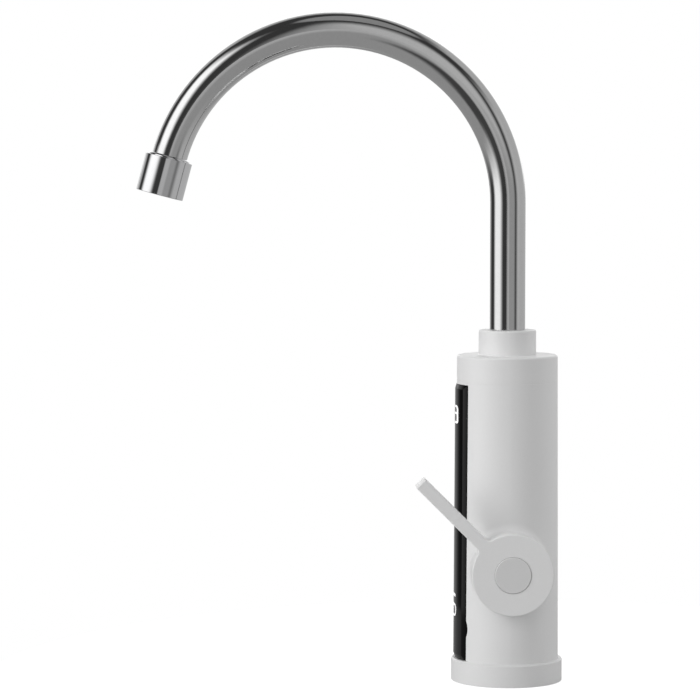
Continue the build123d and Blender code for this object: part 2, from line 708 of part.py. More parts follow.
# Front panel: a curved black strip with bevelled ends and edges
panel_foot = BASE_H + PANEL_FOOT_GAP
face_r = body_r(panel_foot) + PANEL_PROUD
edge_r = face_r - PANEL_SIDE_DROP
inner_x = PANEL_HALF_W - PANEL_SIDE_BEVEL
bevel_inner = Vector(inner_x, -sqrt(face_r**2 - inner_x**2))
bevel_outer = Vector(PANEL_HALF_W, -sqrt(edge_r**2 - PANEL_HALF_W**2))
bevel_start = bevel_inner * 2 - bevel_outer
bevel_end = bevel_outer * 2 - bevel_inner
edge_lean = face_r / -bevel_outer.Y * (BODY_FOOT_R - BODY_TOP_R) / (BODY_TOP_Z - BASE_H)
with BuildPart() as front_panel:
    with BuildSketch(Plane.XZ):
        panel_outline(panel_foot, PANEL_TOP_Z, 0)
    extrude(amount=BODY_FOOT_R + PAST)
    foot_bevel_z = panel_foot + PANEL_END_BEVEL
    head_bevel_z = PANEL_TOP_Z - PANEL_END_BEVEL
    turned(
        (
            (body_r(panel_foot) - PANEL_SUNK, panel_foot),
            (body_r(panel_foot) + PANEL_END_PROUD, panel_foot),
            (body_r(foot_bevel_z) + PANEL_PROUD, foot_bevel_z),
            (body_r(head_bevel_z) + PANEL_PROUD, head_bevel_z),
            (body_r(PANEL_TOP_Z) + PANEL_END_PROUD, PANEL_TOP_Z),
            (body_r(PANEL_TOP_Z) - PANEL_SUNK, PANEL_TOP_Z),
        ),
        mode=Mode.INTERSECT,
    )
    with BuildSketch(level(panel_foot)):
        with BuildLine():
            Polyline(bevel_start, bevel_end, (bevel_end.X, bevel_start.Y), close=True)
        make_face()
        mirror(about=Plane.YZ)
    extrude(amount=PANEL_TOP_Z - panel_foot, dir=(0, edge_lean, 1), mode=Mode.SUBTRACT)
front_panel.part.label = "front_panel"
export_step(front_panel.part, "parts/front_panel.step")

# Foam tape that bonds the panel into its recess
with BuildPart() as panel_tape:
    with BuildSketch(Plane.XZ):
        panel_outline(panel_foot, PANEL_TOP_Z, -TAPE_INSET)
    extrude(amount=BODY_FOOT_R + PAST)
    turned(
        (
            (body_r(BASE_H) - recess_depth + TAPE_GAP, BASE_H),
            (body_r(BASE_H) - PANEL_SUNK - TAPE_GAP, BASE_H),
            (body_r(SEAM_Z) - PANEL_SUNK - TAPE_GAP, SEAM_Z),
            (body_r(SEAM_Z) - recess_depth + TAPE_GAP, SEAM_Z),
        ),
        mode=Mode.INTERSECT,
    )
    with BuildSketch(Plane.XZ):
        display_windows()
    extrude(amount=BODY_FOOT_R + PAST, mode=Mode.SUBTRACT)
panel_tape.part.label = "panel_tape"
export_step(panel_tape.part, "parts/panel_tape.step")

# Display board, screwed from behind to four posts inside the casing
with BuildPart() as display_board:
    with BuildSketch(Plane.XZ.offset(board_back)):
        with Locations((0, (BOARD_FOOT_Z + BOARD_TOP_Z) / 2)):
            RectangleRounded(BOARD_W, BOARD_TOP_Z - BOARD_FOOT_Z, BOARD_CORNER_R)
    extrude(amount=BOARD_T)
    bar(Plane.XZ.offset(board_back), BOARD_SCREW_R + SCREW_GAP, BOARD_T, board_post_points, Mode.SUBTRACT)
display_board.part.label = "display_board"
export_step(display_board.part, "parts/display_board.step")

with BuildPart() as board_screws:
    bar(Plane.XZ.offset(board_back), BOARD_SCREW_R, BOARD_SCREW_L, board_post_points)
    bar(Plane.XZ.offset(board_back), BOARD_SCREW_HEAD_R, -BOARD_SCREW_HEAD_T, board_post_points)
board_screws.part.label = "board_screws"
export_step(board_screws.part, "parts/board_screws.step")

# Number display in the casing window
with BuildPart() as display_module:
    with BuildSketch(Plane.XZ.offset(BOARD_FRONT)):
        with Locations((0, DIGIT_Z)):
            Rectangle(MODULE_W, MODULE_H)
    extrude(amount=MODULE_T)
    chamfer(display_module.faces().sort_by(Axis.Y)[0].edges(), MODULE_EDGE)
display_module.part.label = "display_module"
export_step(display_module.part, "parts/display_module.step")

# Indicator lamps behind the lower marks
with BuildPart() as indicator_lamps:
    bar(Plane.XZ.offset(BOARD_FRONT), LAMP_R, LAMP_L, lamp_points)
    fillet(indicator_lamps.faces().sort_by(Axis.Y)[: len(LAMP_Z)].edges(), LAMP_NOSE_R)
indicator_lamps.part.label = "indicator_lamps"
export_step(indicator_lamps.part, "parts/indicator_lamps.step")

# Inlet socket: internal G1/2 thread below, spigot to the valve block above
spigot_top = INLET_TOP_Z + SPIGOT_H
spigot_ring_z = spigot_top - SPIGOT_RING_DOWN
with BuildPart() as inlet_socket:
    turned(
        (
            (INLET_R, 0),
            (INLET_BODY_R, 0),
            (INLET_BODY_R, floor_top + INLET_BODY_RISE),
            (INLET_NECK_R, floor_top + INLET_BODY_RISE),
            (INLET_NECK_R, INLET_TOP_Z),
            (SPIGOT_R, INLET_TOP_Z),
            (SPIGOT_R, spigot_top),
            (INLET_BORE_R, spigot_top),
            (INLET_BORE_R, INLET_DEPTH + FILTER_FLANGE_T),
            (FILTER_SEAT_R, INLET_DEPTH + FILTER_FLANGE_T),
            (FILTER_SEAT_R, INLET_DEPTH),
            (INLET_R, INLET_DEPTH),
        )
    )
    with BuildSketch(level(floor_top)):
        RegularPolygon(INLET_HEX_AF / 2, 6, major_radius=False)
        Circle(INLET_R, mode=Mode.SUBTRACT)
    extrude(amount=INLET_HEX_T)
    grooves([(SPIGOT_R, spigot_ring_z)], 2 * SPIGOT_GROOVE_T, 2 * (SPIGOT_RING_R + SPIGOT_RING_SIDE))
inlet_socket.part.label = "inlet_socket"
export_step(inlet_socket.part, "parts/inlet_socket.step")

# Ring nut that clamps the inlet socket from below the floor
with BuildPart() as inlet_nut:
    with BuildSketch(level(GASKET_T - INLET_NUT_T)):
        Circle(INLET_NUT_R)
        Circle(INLET_BODY_R + SLIP, mode=Mode.SUBTRACT)
        with PolarLocations(INLET_NUT_R, 4):
            Rectangle(NUT_SLOT, NUT_SLOT, mode=Mode.SUBTRACT)
    extrude(amount=INLET_NUT_T)
inlet_nut.part.label = "inlet_nut"
export_step(inlet_nut.part, "parts/inlet_nut.step")

# Inlet filter: a flanged cup of mesh
with BuildPart() as inlet_filter:
    bar(level(INLET_DEPTH), FILTER_SEAT_R - SLIP, FILTER_FLANGE_T)
    bar(level(INLET_DEPTH), filter_r, FILTER_H)
    bar(level(INLET_DEPTH), filter_r - FILTER_WALL, FILTER_H - FILTER_WALL, mode=Mode.SUBTRACT)
inlet_filter.part.label = "inlet_filter"
export_step(inlet_filter.part, "parts/inlet_filter.step")

# Rubber ring on the spigot of the inlet socket
with BuildPart() as inlet_ring:
    rubber_rings([(spigot_groove_r + SPIGOT_RING_R, spigot_ring_z)], SPIGOT_RING_R - RING_PLAY)
inlet_ring.part.label = "inlet_ring"
export_step(inlet_ring.part, "parts/inlet_ring.step")

# Cable gland in the base floor, with its nut
gland_foot = GASKET_T - GLAND_FLANGE_T
with BuildPart() as cable_gland:
    bar(level(gland_foot), GLAND_FLANGE_R, GLAND_FLANGE_T, gland_point)
    bar(level(GASKET_T), GLAND_R, GLAND_BODY_H, gland_point)
    chamfer(cable_gland.faces().sort_by(Axis.Z)[-1].edges(), GLAND_EDGE)
    bar(level(gland_foot), GLAND_BORE_R, GLAND_FLANGE_T + GLAND_BODY_H, gland_point, Mode.SUBTRACT)
cable_gland.part.label = "cable_gland"
export_step(cable_gland.part, "parts/cable_gland.step")

with BuildPart() as gland_nut:
    bar(level(floor_top), GLAND_NUT_R, GLAND_NUT_T, gland_point)
    bar(level(floor_top), GLAND_R + SLIP, GLAND_NUT_T, gland_point, Mode.SUBTRACT)
gland_nut.part.label = "gland_nut"
export_step(gland_nut.part, "parts/gland_nut.step")

# Valve block: barrel on the lever's axis, inlet stub, riser boss, flow switch cup, bracket
bracket_middle = BRACKET_Y + BRACKET_T / 2
with BuildPart() as valve_block:
    bar(square_to_lever(BARREL_BACK_X), BARREL_R, BARREL_MOUTH_X - BARREL_BACK_X)
    chamfer(valve_block.faces().sort_by(Axis.X)[0].edges(), BARREL_EDGE)
    bar(level(INLET_TOP_Z), STUB_R, LEVER_Z - INLET_TOP_Z)
    bar(level(LEVER_Z), CUP_R, cup_rim - LEVER_Z)
    bar(level(LEVER_Z + RISER_BOSS_FOOT), RISER_BOSS_R, RISER_BOSS_TOP - RISER_BOSS_FOOT, riser_point)
    with BuildSketch(level(BRACKET_FOOT_Z)):
        with Locations((0, bracket_middle)):
            Rectangle(BRACKET_W, BRACKET_T)
        Rectangle(BRACKET_RIB_W, bracket_middle, align=(Align.CENTER, Align.MIN))
    extrude(amount=BRACKET_TOP_Z - BRACKET_FOOT_Z)
    cartridge_l = BARREL_MOUTH_X - BARREL_SEAT_X
    bar(square_to_lever(BARREL_SEAT_X), CARTRIDGE_R + SLIP, cartridge_l, mode=Mode.SUBTRACT)
    gallery_x = plate_x - GALLERY_ROOM / 2
    gallery_l = STEM_PLATE_T + GALLERY_ROOM
    bar(square_to_lever(gallery_x), CARTRIDGE_R + GALLERY_ROOM, gallery_l, mode=Mode.SUBTRACT)
    chamber_l = BARREL_SEAT_X - CHAMBER_BACK_X
    bar(square_to_lever(CHAMBER_BACK_X), CHAMBER_R, chamber_l, mode=Mode.SUBTRACT)
    bar(level(INLET_TOP_Z), FEED_R, LEVER_Z - INLET_TOP_Z, mode=Mode.SUBTRACT)
    bar(level(INLET_TOP_Z), SPIGOT_R + 2 * SLIP, STUB_SOCKET_H, mode=Mode.SUBTRACT)
    bar(Plane.XZ, RISER_PORT_R, -RISER_Y, [(plate_x, LEVER_Z)], Mode.SUBTRACT)
    bore_l = RISER_BOSS_TOP - RISER_BORE_FOOT
    bar(level(LEVER_Z + RISER_BORE_FOOT), RISER_BORE_R, bore_l, riser_point, Mode.SUBTRACT)
    seat_l = RISER_BOSS_TOP - RISER_SEAT
    bar(level(LEVER_Z + RISER_SEAT), RISER_R + SLIP, seat_l, riser_point, Mode.SUBTRACT)
    bar(level(cup_rim - CUP_POCKET_H), CUP_POCKET_R, CUP_POCKET_H, mode=Mode.SUBTRACT)
    channels = [(x, 0) for x in CUP_CHANNEL_X]
    bar(level(LEVER_Z), CUP_CHANNEL_R, cup_rim - LEVER_Z, channels, Mode.SUBTRACT)
    screw_l = COVER_SCREW_L - COVER_FLANGE_T
    bar(level(cup_rim), COVER_SCREW_R + SCREW_GAP, -screw_l, cover_screw_points, Mode.SUBTRACT)
valve_block.part.label = "valve_block"
export_step(valve_block.part, "parts/valve_block.step")

# Terminal block on the bracket
block_back = BRACKET_Y + BRACKET_T
way_w = BLOCK_W / BLOCK_WAYS
way_points = [((k + 0.5) * way_w - BLOCK_W / 2, block_back + BLOCK_T / 2) for k in range(BLOCK_WAYS)]
with BuildPart() as terminal_block:
    with BuildSketch(level(BLOCK_Z - BLOCK_H / 2)):
        with Locations((0, block_back)):
            Rectangle(BLOCK_W, BLOCK_T, align=(Align.CENTER, Align.MIN))
    extrude(amount=BLOCK_H)
    chamfer(terminal_block.faces().sort_by(Axis.Y)[-1].edges().filter_by(Axis.Z), BLOCK_EDGE)
    bar(level(BLOCK_Z - BLOCK_H / 2), BLOCK_WAY_R, BLOCK_H, way_points, Mode.SUBTRACT)
terminal_block.part.label = "terminal_block"
export_step(terminal_block.part, "parts/terminal_block.step")

# Lip seal pressed between the valve block and the fixed ceramic disc
with BuildPart() as seat_seal:
    ring(square_to_lever(BARREL_SEAT_X), CARTRIDGE_R - 2 * SLIP, CHAMBER_R, SEAT_SEAL_T)
seat_seal.part.label = "seat_seal"
export_step(seat_seal.part, "parts/seat_seal.step")

# Ceramic discs: the fixed one lets water in, the turning one opens and closes the ports
cartridge_bore_r = CARTRIDGE_R - CARTRIDGE_WALL
ceramic_r = cartridge_bore_r - 2 * SLIP
port_circle = ceramic_r - PORT_R - PORT_LAND
with BuildPart() as fixed_disc:
    with BuildSketch(square_to_lever(cartridge_x)):
        Circle(ceramic_r)
        with PolarLocations(port_circle, 2, start_angle=90):
            Circle(PORT_R, mode=Mode.SUBTRACT)
    extrude(amount=CERAMIC_T)
fixed_disc.part.label = "fixed_disc"
export_step(fixed_disc.part, "parts/fixed_disc.step")

with BuildPart() as turning_disc:
    with BuildSketch(square_to_lever(moving_x)):
        Circle(ceramic_r - CERAMIC_PLAY)
        with PolarLocations(port_circle, 2):
            Circle(PORT_R, mode=Mode.SUBTRACT)
    extrude(amount=CERAMIC_T)
turning_disc.part.label = "turning_disc"
export_step(turning_disc.part, "parts/turning_disc.step")

# Cartridge body: holds the discs, guides the stem and clamps the casing boss
cartridge_ring_x = shaft_x + CARTRIDGE_RING_AT
with BuildPart() as cartridge_body:
    bar(square_to_lever(cartridge_x), CARTRIDGE_R, BARREL_MOUTH_X - cartridge_x)
    with BuildSketch(square_to_lever(BARREL_MOUTH_X)):
        RegularPolygon(CARTRIDGE_HEX_AF / 2, 6, major_radius=False)
    extrude(amount=boss_wall_x - BARREL_MOUTH_X)
    bar(square_to_lever(boss_wall_x), NOSE_R, nose_end_x - boss_wall_x)
    chamfer(cartridge_body.faces().sort_by(Axis.X)[-1].edges(), NOSE_EDGE)
    disc_room = shaft_x + CERAMIC_PLAY - cartridge_x
    bar(square_to_lever(cartridge_x), cartridge_bore_r, disc_room, mode=Mode.SUBTRACT)
    bar(square_to_lever(cartridge_x), STEM_R + RUN, nose_end_x - cartridge_x, mode=Mode.SUBTRACT)
    with BuildSketch(square_to_lever(plate_x)):
        Rectangle(2 * CARTRIDGE_R, CARTRIDGE_WINDOW_W)
    extrude(amount=STEM_PLATE_T, mode=Mode.SUBTRACT)
    groove_at = [(cartridge_ring_x, LEVER_Z + CARTRIDGE_R)]
    grooves(groove_at, CARTRIDGE_GROOVE_W, 4 * CARTRIDGE_RING_R, lever_axis)
cartridge_body.part.label = "cartridge_body"
export_step(cartridge_body.part, "parts/cartridge_body.step")

# Rubber ring round the cartridge body
with BuildPart() as cartridge_ring:
    ring_r = CARTRIDGE_R - CARTRIDGE_RING_R + RING_PLAY
    rubber_rings([(cartridge_ring_x, LEVER_Z + ring_r)], CARTRIDGE_RING_R, lever_axis)
cartridge_ring.part.label = "cartridge_ring"
export_step(cartridge_ring.part, "parts/cartridge_ring.step")

# Ring nut that clamps the casing boss to the cartridge
with BuildPart() as boss_nut:
    with BuildSketch(square_to_lever(BOSS_X)):
        Circle(BOSS_NUT_R)
        Circle(NOSE_R + SLIP, mode=Mode.SUBTRACT)
        with PolarLocations(BOSS_NUT_R, 6):
            Rectangle(NUT_SLOT, NUT_SLOT, mode=Mode.SUBTRACT)
    extrude(amount=BOSS_NUT_T)
boss_nut.part.label = "boss_nut"
export_step(boss_nut.part, "parts/boss_nut.step")

# Splash ring between the casing boss and the lever's disc
with BuildPart() as splash_ring:
    splash_r = BOSS_R - SPLASH_INSET
    ring(square_to_lever(BOSS_X), splash_r, splash_r - SPLASH_W, SPLASH_T)
splash_ring.part.label = "splash_ring"
export_step(splash_ring.part, "parts/splash_ring.step")

# Stem: a driving tongue behind the turning disc and a shaft out to the lever
stem_ring_x = [shaft_x + at for at in STEM_RING_AT]
screw_hole_l = stem_end_x - cap_floor + LEVER_SCREW_L + LEVER_SCREW_END_GAP
with BuildPart() as stem:
    with BuildSketch(square_to_lever(plate_x)):
        Circle(ceramic_r - CERAMIC_PLAY)
        Rectangle(STEM_PLATE_W, 2 * ceramic_r, mode=Mode.INTERSECT)
    extrude(amount=STEM_PLATE_T)
    bar(square_to_lever(plate_x), STEM_R, stem_end_x - plate_x)
    groove_at = [(x, LEVER_Z + STEM_R) for x in stem_ring_x]
    grooves(groove_at, STEM_GROOVE_W, 2 * STEM_GROOVE_T, lever_axis)
    bar(square_to_lever(stem_end_x), LEVER_SCREW_R + SLIP, -screw_hole_l, mode=Mode.SUBTRACT)
stem.part.label = "stem"
export_step(stem.part, "parts/stem.step")

# Two rubber rings on the stem
with BuildPart() as stem_rings:
    ring_z = LEVER_Z + STEM_R - STEM_GROOVE_T + STEM_RING_R + RING_PLAY
    rubber_rings([(x, ring_z) for x in stem_ring_x], STEM_RING_R, lever_axis)
stem_rings.part.label = "stem_rings"
export_step(stem_rings.part, "parts/stem_rings.step")

# Lever handle: a hollow disc with a straight arm that is bevelled at its tip, one moulding
arm_turn = radians(ARM_ANGLE)
arm_out = (0, -cos(arm_turn), sin(arm_turn))
arm_side = Plane(origin=(0, 0, LEVER_Z), x_dir=arm_out, z_dir=(0, sin(arm_turn), cos(arm_turn)))
with BuildPart() as handle:
    with BuildSketch(square_to_lever(disc_back_x)) as handle_outline:
        Circle(DISC_R)
        Rectangle(ARM_L, ARM_W, rotation=180 - ARM_ANGLE, align=(Align.MIN, Align.CENTER))
        corners = handle_outline.vertices()
        roots = corners.filter_by(lambda v: abs(Vector(v).length - DISC_R) < 0.05 and v.X < 0 < v.Y)
        fillet(roots, ARM_ROOT_R)
        tips = handle_outline.vertices().filter_by(lambda v: Vector(v).length > ARM_L - ARM_CORNER_R)
        fillet(tips, ARM_CORNER_R)
    extrude(amount=disc_front_x - disc_back_x)
    fillet(handle.faces().sort_by(Axis.X)[-1].edges(), DISC_EDGE_R)
    with BuildSketch(arm_side) as tip_corner:
        with Locations((ARM_L, disc_front_x - ARM_TIP_BEVEL)):
            Rectangle(PAST, PAST, rotation=-45, align=(Align.CENTER, Align.MIN))
    extrude(tip_corner.sketch, amount=ARM_W, both=True, mode=Mode.SUBTRACT)
    hollow_l = disc_front_x - DISC_FACE_T - disc_back_x
    bar(square_to_lever(disc_back_x), DISC_R - DISC_SKIRT_T, hollow_l, mode=Mode.SUBTRACT)
    bar(square_to_lever(hub_back_x), HUB_R, cap_floor - hub_back_x)
    bar(square_to_lever(hub_back_x), STEM_R + SLIP, stem_end_x + HUB_BORE_GAP - hub_back_x, mode=Mode.SUBTRACT)
    bar(square_to_lever(hub_back_x), LEVER_SCREW_R + SCREW_GAP, cap_floor - hub_back_x, mode=Mode.SUBTRACT)
    bar(square_to_lever(cap_floor), CAP_R + CAP_GAP, CAP_SEAT, mode=Mode.SUBTRACT)
handle.part.label = "handle"
export_step(handle.part, "parts/handle.step")

# Screw that holds the lever on the stem
with BuildPart() as handle_screw:
    bar(square_to_lever(cap_floor), LEVER_SCREW_HEAD_R, LEVER_SCREW_HEAD_T)
    bar(square_to_lever(cap_floor), LEVER_SCREW_R, -LEVER_SCREW_L)
    head_end = square_to_lever(cap_floor + LEVER_SCREW_HEAD_T)
    crosses(head_end, LEVER_SCREW_SLOT_L, LEVER_SCREW_SLOT_W, -LEVER_SCREW_SLOT_T)
handle_screw.part.label = "handle_screw"
export_step(handle_screw.part, "parts/handle_screw.step")

# Grey cap over the lever screw
with BuildPart() as handle_cap:
    bar(square_to_lever(cap_floor), CAP_R, CAP_SEAT + CAP_PROUD)
    chamfer(handle_cap.faces().sort_by(Axis.X)[-1].edges(), CAP_EDGE)
    bar(square_to_lever(cap_floor), CAP_R - CAP_RIM_T, CAP_SEAT + CAP_PROUD - CAP_T, mode=Mode.SUBTRACT)
handle_cap.part.label = "handle_cap"
export_step(handle_cap.part, "parts/handle_cap.step")

# Flow switch diaphragm, clamped between the cup and its cover
with BuildPart() as diaphragm:
    bar(level(cup_rim), CUP_R - 2 * SLIP, DIAPHRAGM_T)
    bar(level(cup_rim), DIAPHRAGM_CORE_R, -DIAPHRAGM_T)
    bar(level(cup_rim), COVER_SCREW_R + SCREW_GAP, DIAPHRAGM_T, cover_screw_points, Mode.SUBTRACT)
diaphragm.part.label = "diaphragm"
export_step(diaphragm.part, "parts/diaphragm.step")

# Cover of the flow switch: guides the pin and carries the microswitch on two pads
pad_x = SWITCH_L / 2 - COVER_PAD_IN
with BuildPart() as switch_cover:
    bar(level(cover_foot), CUP_R, COVER_FLANGE_T)
    bar(level(cover_foot), COVER_DOME_R, COVER_H)
    with BuildSketch(level(pocket_roof)):
        with Locations((pad_x, 0), (-pad_x, 0)):
            Rectangle(COVER_PAD_W, SWITCH_W)
    extrude(amount=switch_under - pocket_roof)
    bar(level(cover_foot), COVER_POCKET_R, COVER_H - COVER_ROOF_T, mode=Mode.SUBTRACT)
    bar(level(pocket_roof), PIN_R + RUN, COVER_ROOF_T, mode=Mode.SUBTRACT)
    bar(level(cover_foot), COVER_SCREW_R + SCREW_GAP, COVER_FLANGE_T, cover_screw_points, Mode.SUBTRACT)
switch_cover.part.label = "switch_cover"
export_step(switch_cover.part, "parts/switch_cover.step")

with BuildPart() as cover_screws:
    bar(level(cover_foot + COVER_FLANGE_T), COVER_SCREW_HEAD_R, COVER_SCREW_HEAD_T, cover_screw_points)
    bar(level(cover_foot + COVER_FLANGE_T), COVER_SCREW_R, -COVER_SCREW_L, cover_screw_points)
cover_screws.part.label = "cover_screws"
export_step(cover_screws.part, "parts/cover_screws.step")

# Pin with its plate, lifted by the diaphragm when water flows
with BuildPart() as switch_pin:
    bar(level(cover_foot), PLATE_R, PLATE_T)
    bar(level(cover_foot), PIN_R, pin_top - cover_foot)
    chamfer(switch_pin.faces().sort_by(Axis.Z)[-1].edges(), PIN_EDGE)
switch_pin.part.label = "switch_pin"
export_step(switch_pin.part, "parts/switch_pin.step")

# Return spring of the pin
spring_foot = cover_foot + PLATE_T + SPRING_WIRE_R
spring_head = pocket_roof - SPRING_WIRE_R
spring_pitch = (spring_head - spring_foot) / SPRING_TURNS
spring_corners = coil_corners(SPRING_R, spring_pitch, 4 * SPRING_TURNS, spring_foot)
with BuildPart() as pin_spring:
    with BuildLine() as spring_line:
        FilletPolyline(
            (0, -SPRING_R, spring_foot),
            *spring_corners,
            (0, -SPRING_R, spring_head),
            radius=SPRING_ROUND * SPRING_R,
        )
    with BuildSketch(Plane(origin=spring_line.line @ 0, z_dir=spring_line.line % 0)):
        Circle(SPRING_WIRE_R)
    sweep(path=spring_line.line)
pin_spring.part.label = "pin_spring"
export_step(pin_spring.part, "parts/pin_spring.step")

# Microswitch above the pin, with its red button
with BuildPart() as microswitch:
    with BuildSketch(level(switch_under)):
        Rectangle(SWITCH_L, SWITCH_W)
    extrude(amount=SWITCH_H)
    with BuildSketch(level(switch_under + SWITCH_H / 2)):
        Rectangle(SWITCH_L + 2 * BLADE_L, BLADE_W)
    extrude(amount=BLADE_T)
    hole_l = PLUNGER_OUT + SWITCH_TRAVEL + PLUNGER_END_GAP
    bar(level(switch_under), PLUNGER_R + RUN, hole_l, mode=Mode.SUBTRACT)
microswitch.part.label = "microswitch"
export_step(microswitch.part, "parts/microswitch.step")

with BuildPart() as switch_button:
    bar(level(switch_under - PLUNGER_OUT), PLUNGER_R, 2 * PLUNGER_OUT)
    chamfer(switch_button.faces().sort_by(Axis.Z)[0].edges(), PLUNGER_EDGE)
switch_button.part.label = "switch_button"
export_step(switch_button.part, "parts/switch_button.step")

# Pipe from the valve block to the heater tank
with BuildPart() as hot_riser:
    with BuildLine() as riser_line:
        FilletPolyline(
            (RISER_X, RISER_Y, LEVER_Z + RISER_SEAT),
            (RISER_X, RISER_Y, lid_z - RISER_BEND_FOOT),
            (*INLET_PORT, lid_z - RISER_BEND_HEAD),
            (*INLET_PORT, lid_top),
            radius=RISER_BEND_R,
        )
    with BuildSketch(level(LEVER_Z + RISER_SEAT)):
        with Locations(*riser_point):
            Circle(RISER_R)
            Circle(RISER_BORE_R, mode=Mode.SUBTRACT)
    sweep(path=riser_line.line)
hot_riser.part.label = "hot_riser"
export_step(hot_riser.part, "parts/hot_riser.step")

# Tank lid: carries the heating element, the sensor and the water inlet
leg_points = ((-COIL_LEG_X, -COIL_R), (-COIL_LEG_X, COIL_R - 2 * COIL_BEND_R - COIL_LEG_RUN))
with BuildPart() as tank_lid:
    bar(level(lid_z), LID_R, LID_T)
    flat_front(lid_z, LID_T)
    bar(level(lid_z), COIL_TUBE_R + SLIP, LID_T, leg_points, Mode.SUBTRACT)
    bar(level(lid_z), RISER_R + SLIP, LID_T, [INLET_PORT], Mode.SUBTRACT)
    bar(level(lid_z), SENSOR_R + SLIP, LID_T, [SENSOR_AT], Mode.SUBTRACT)
    bar(level(lid_z), TANK_SCREW_R + SCREW_GAP, LID_T, tank_screw_points, Mode.SUBTRACT)
    ring(level(lid_top), TANK_R + SEAL_W / 2, TANK_R - SEAL_W / 2, -SEAL_H, mode=Mode.SUBTRACT)
tank_lid.part.label = "tank_lid"
export_step(tank_lid.part, "parts/tank_lid.step")

with BuildPart() as tank_seal:
    seal_half = SEAL_W / 2 - SLIP
    ring(level(lid_top), TANK_R + seal_half, TANK_R - seal_half, -SEAL_H)
tank_seal.part.label = "tank_seal"
export_step(tank_seal.part, "parts/tank_seal.step")

# Room inside the heater tank
with BuildPart() as tank_room:
    bar(level(lid_top), TANK_R - TANK_WALL, tank_top - TANK_WALL - lid_top)
    fillet(tank_room.faces().sort_by(Axis.Z)[-1].edges(), TANK_SHOULDER - TANK_WALL)

# Heater tank: a deep-drawn steel can with a flange and a rounded shoulder
with BuildPart() as heater_tank:
    bar(level(lid_top), TANK_R, tank_top - lid_top)
    fillet(heater_tank.faces().sort_by(Axis.Z)[-1].edges(), TANK_SHOULDER)
    bar(level(lid_top), LID_R, FLANGE_T)
    flat_front(lid_top, FLANGE_T)
    bar(level(lid_top), TANK_SCREW_R + SCREW_GAP, FLANGE_T, tank_screw_points, Mode.SUBTRACT)
    add(tank_room.part, mode=Mode.SUBTRACT)
    bar(level(lid_top), SOCKET_PORT_R, tank_top - lid_top, mode=Mode.SUBTRACT)
heater_tank.part.label = "heater_tank"
export_step(heater_tank.part, "parts/heater_tank.step")

with BuildPart() as tank_screws:
    bar(level(flange_top), TANK_SCREW_HEAD_R, TANK_SCREW_HEAD_T, tank_screw_points)
    bar(level(flange_top), TANK_SCREW_R, -(FLANGE_T + LID_T), tank_screw_points)
tank_screws.part.label = "tank_screws"
export_step(tank_screws.part, "parts/tank_screws.step")

# Heating element: a coiled tube whose two legs pass through the lid
coil_foot = lid_top + COIL_RISE
coil_head = tank_top - TANK_SHOULDER - COIL_TUBE_R
coil_pitch = (coil_head - coil_foot) / (COIL_TURNS + 0.5)
element_corners = coil_corners(COIL_R, coil_pitch, 4 * COIL_TURNS + 2, coil_foot)
element_bends = [COIL_BEND_R] + [COIL_ROUND * COIL_R] * len(element_corners) + [COIL_BEND_R] * 2
with BuildPart() as heating_element:
    with BuildLine() as element_line:
        FilletPolyline(
            (*leg_points[0], lid_z),
            (*leg_points[0], coil_foot),
            *element_corners,
            (-COIL_LEG_X, COIL_R, coil_head),
            (*leg_points[1], coil_head),
            (*leg_points[1], lid_z),
            radius=element_bends,
        )
    with BuildSketch(level(lid_z)):
        with Locations(leg_points[0]):
            Circle(COIL_TUBE_R)
    sweep(path=element_line.line)
    bar(level(lid_z), TERMINAL_R, -TERMINAL_L, leg_points)
heating_element.part.label = "heating_element"
export_step(heating_element.part, "parts/heating_element.step")

# Temperature sensor in the lid
with BuildPart() as temperature_sensor:
    bar(level(lid_z), SENSOR_R, SENSOR_L, [SENSOR_AT])
    fillet(temperature_sensor.faces().sort_by(Axis.Z)[-1].edges(), SENSOR_NOSE_R)
    bar(level(lid_z), SENSOR_HEAD_R, -SENSOR_HEAD_T, [SENSOR_AT])
temperature_sensor.part.label = "temperature_sensor"
export_step(temperature_sensor.part, "parts/temperature_sensor.step")

# Thermal cutout bonded to the tank's rear wall
with BuildPart() as thermal_cutout:
    with BuildSketch(level(CUTOUT_Z)):
        with Locations((0, TANK_R)):
            Rectangle(CUTOUT_W, 2 * CUTOUT_T)
        Circle(TANK_R + SLIP, mode=Mode.SUBTRACT)
    extrude(amount=CUTOUT_H)
    chamfer(thermal_cutout.faces().sort_by(Axis.Y)[-1].edges(), CUTOUT_EDGE)
thermal_cutout.part.label = "thermal_cutout"
export_step(thermal_cutout.part, "parts/thermal_cutout.step")

# Outlet socket on the tank top; the spout's tail turns in it
with BuildPart() as outlet_socket:
    turned(
        (
            (SOCKET_PORT_R, tank_top),
            (SOCKET_R, tank_top),
            (SOCKET_R, plate_under - SOCKET_FLANGE_T),
            (SOCKET_FLANGE_R, plate_under - SOCKET_FLANGE_T),
            (SOCKET_FLANGE_R, plate_under),
            (SOCKET_R, plate_under),
            (SOCKET_R, socket_rim),
            (TUBE_R + RUN, socket_rim),
            (TUBE_R + RUN, tank_top + SOCKET_FLOOR_T),
            (SOCKET_PORT_R, tank_top + SOCKET_FLOOR_T),
        )
    )
outlet_socket.part.label = "outlet_socket"
export_step(outlet_socket.part, "parts/outlet_socket.step")

# Split clip that keeps the spout from lifting out
with BuildPart() as spout_clip:
    with BuildSketch(level(socket_rim)):
        Circle(CLIP_R)
        Circle(clip_groove_r + SCREW_GAP, mode=Mode.SUBTRACT)
        Rectangle(CLIP_SPLIT, CLIP_R, align=(Align.CENTER, Align.MIN), mode=Mode.SUBTRACT)
    extrude(amount=CLIP_T)
spout_clip.part.label = "spout_clip"
export_step(spout_clip.part, "parts/spout_clip.step")

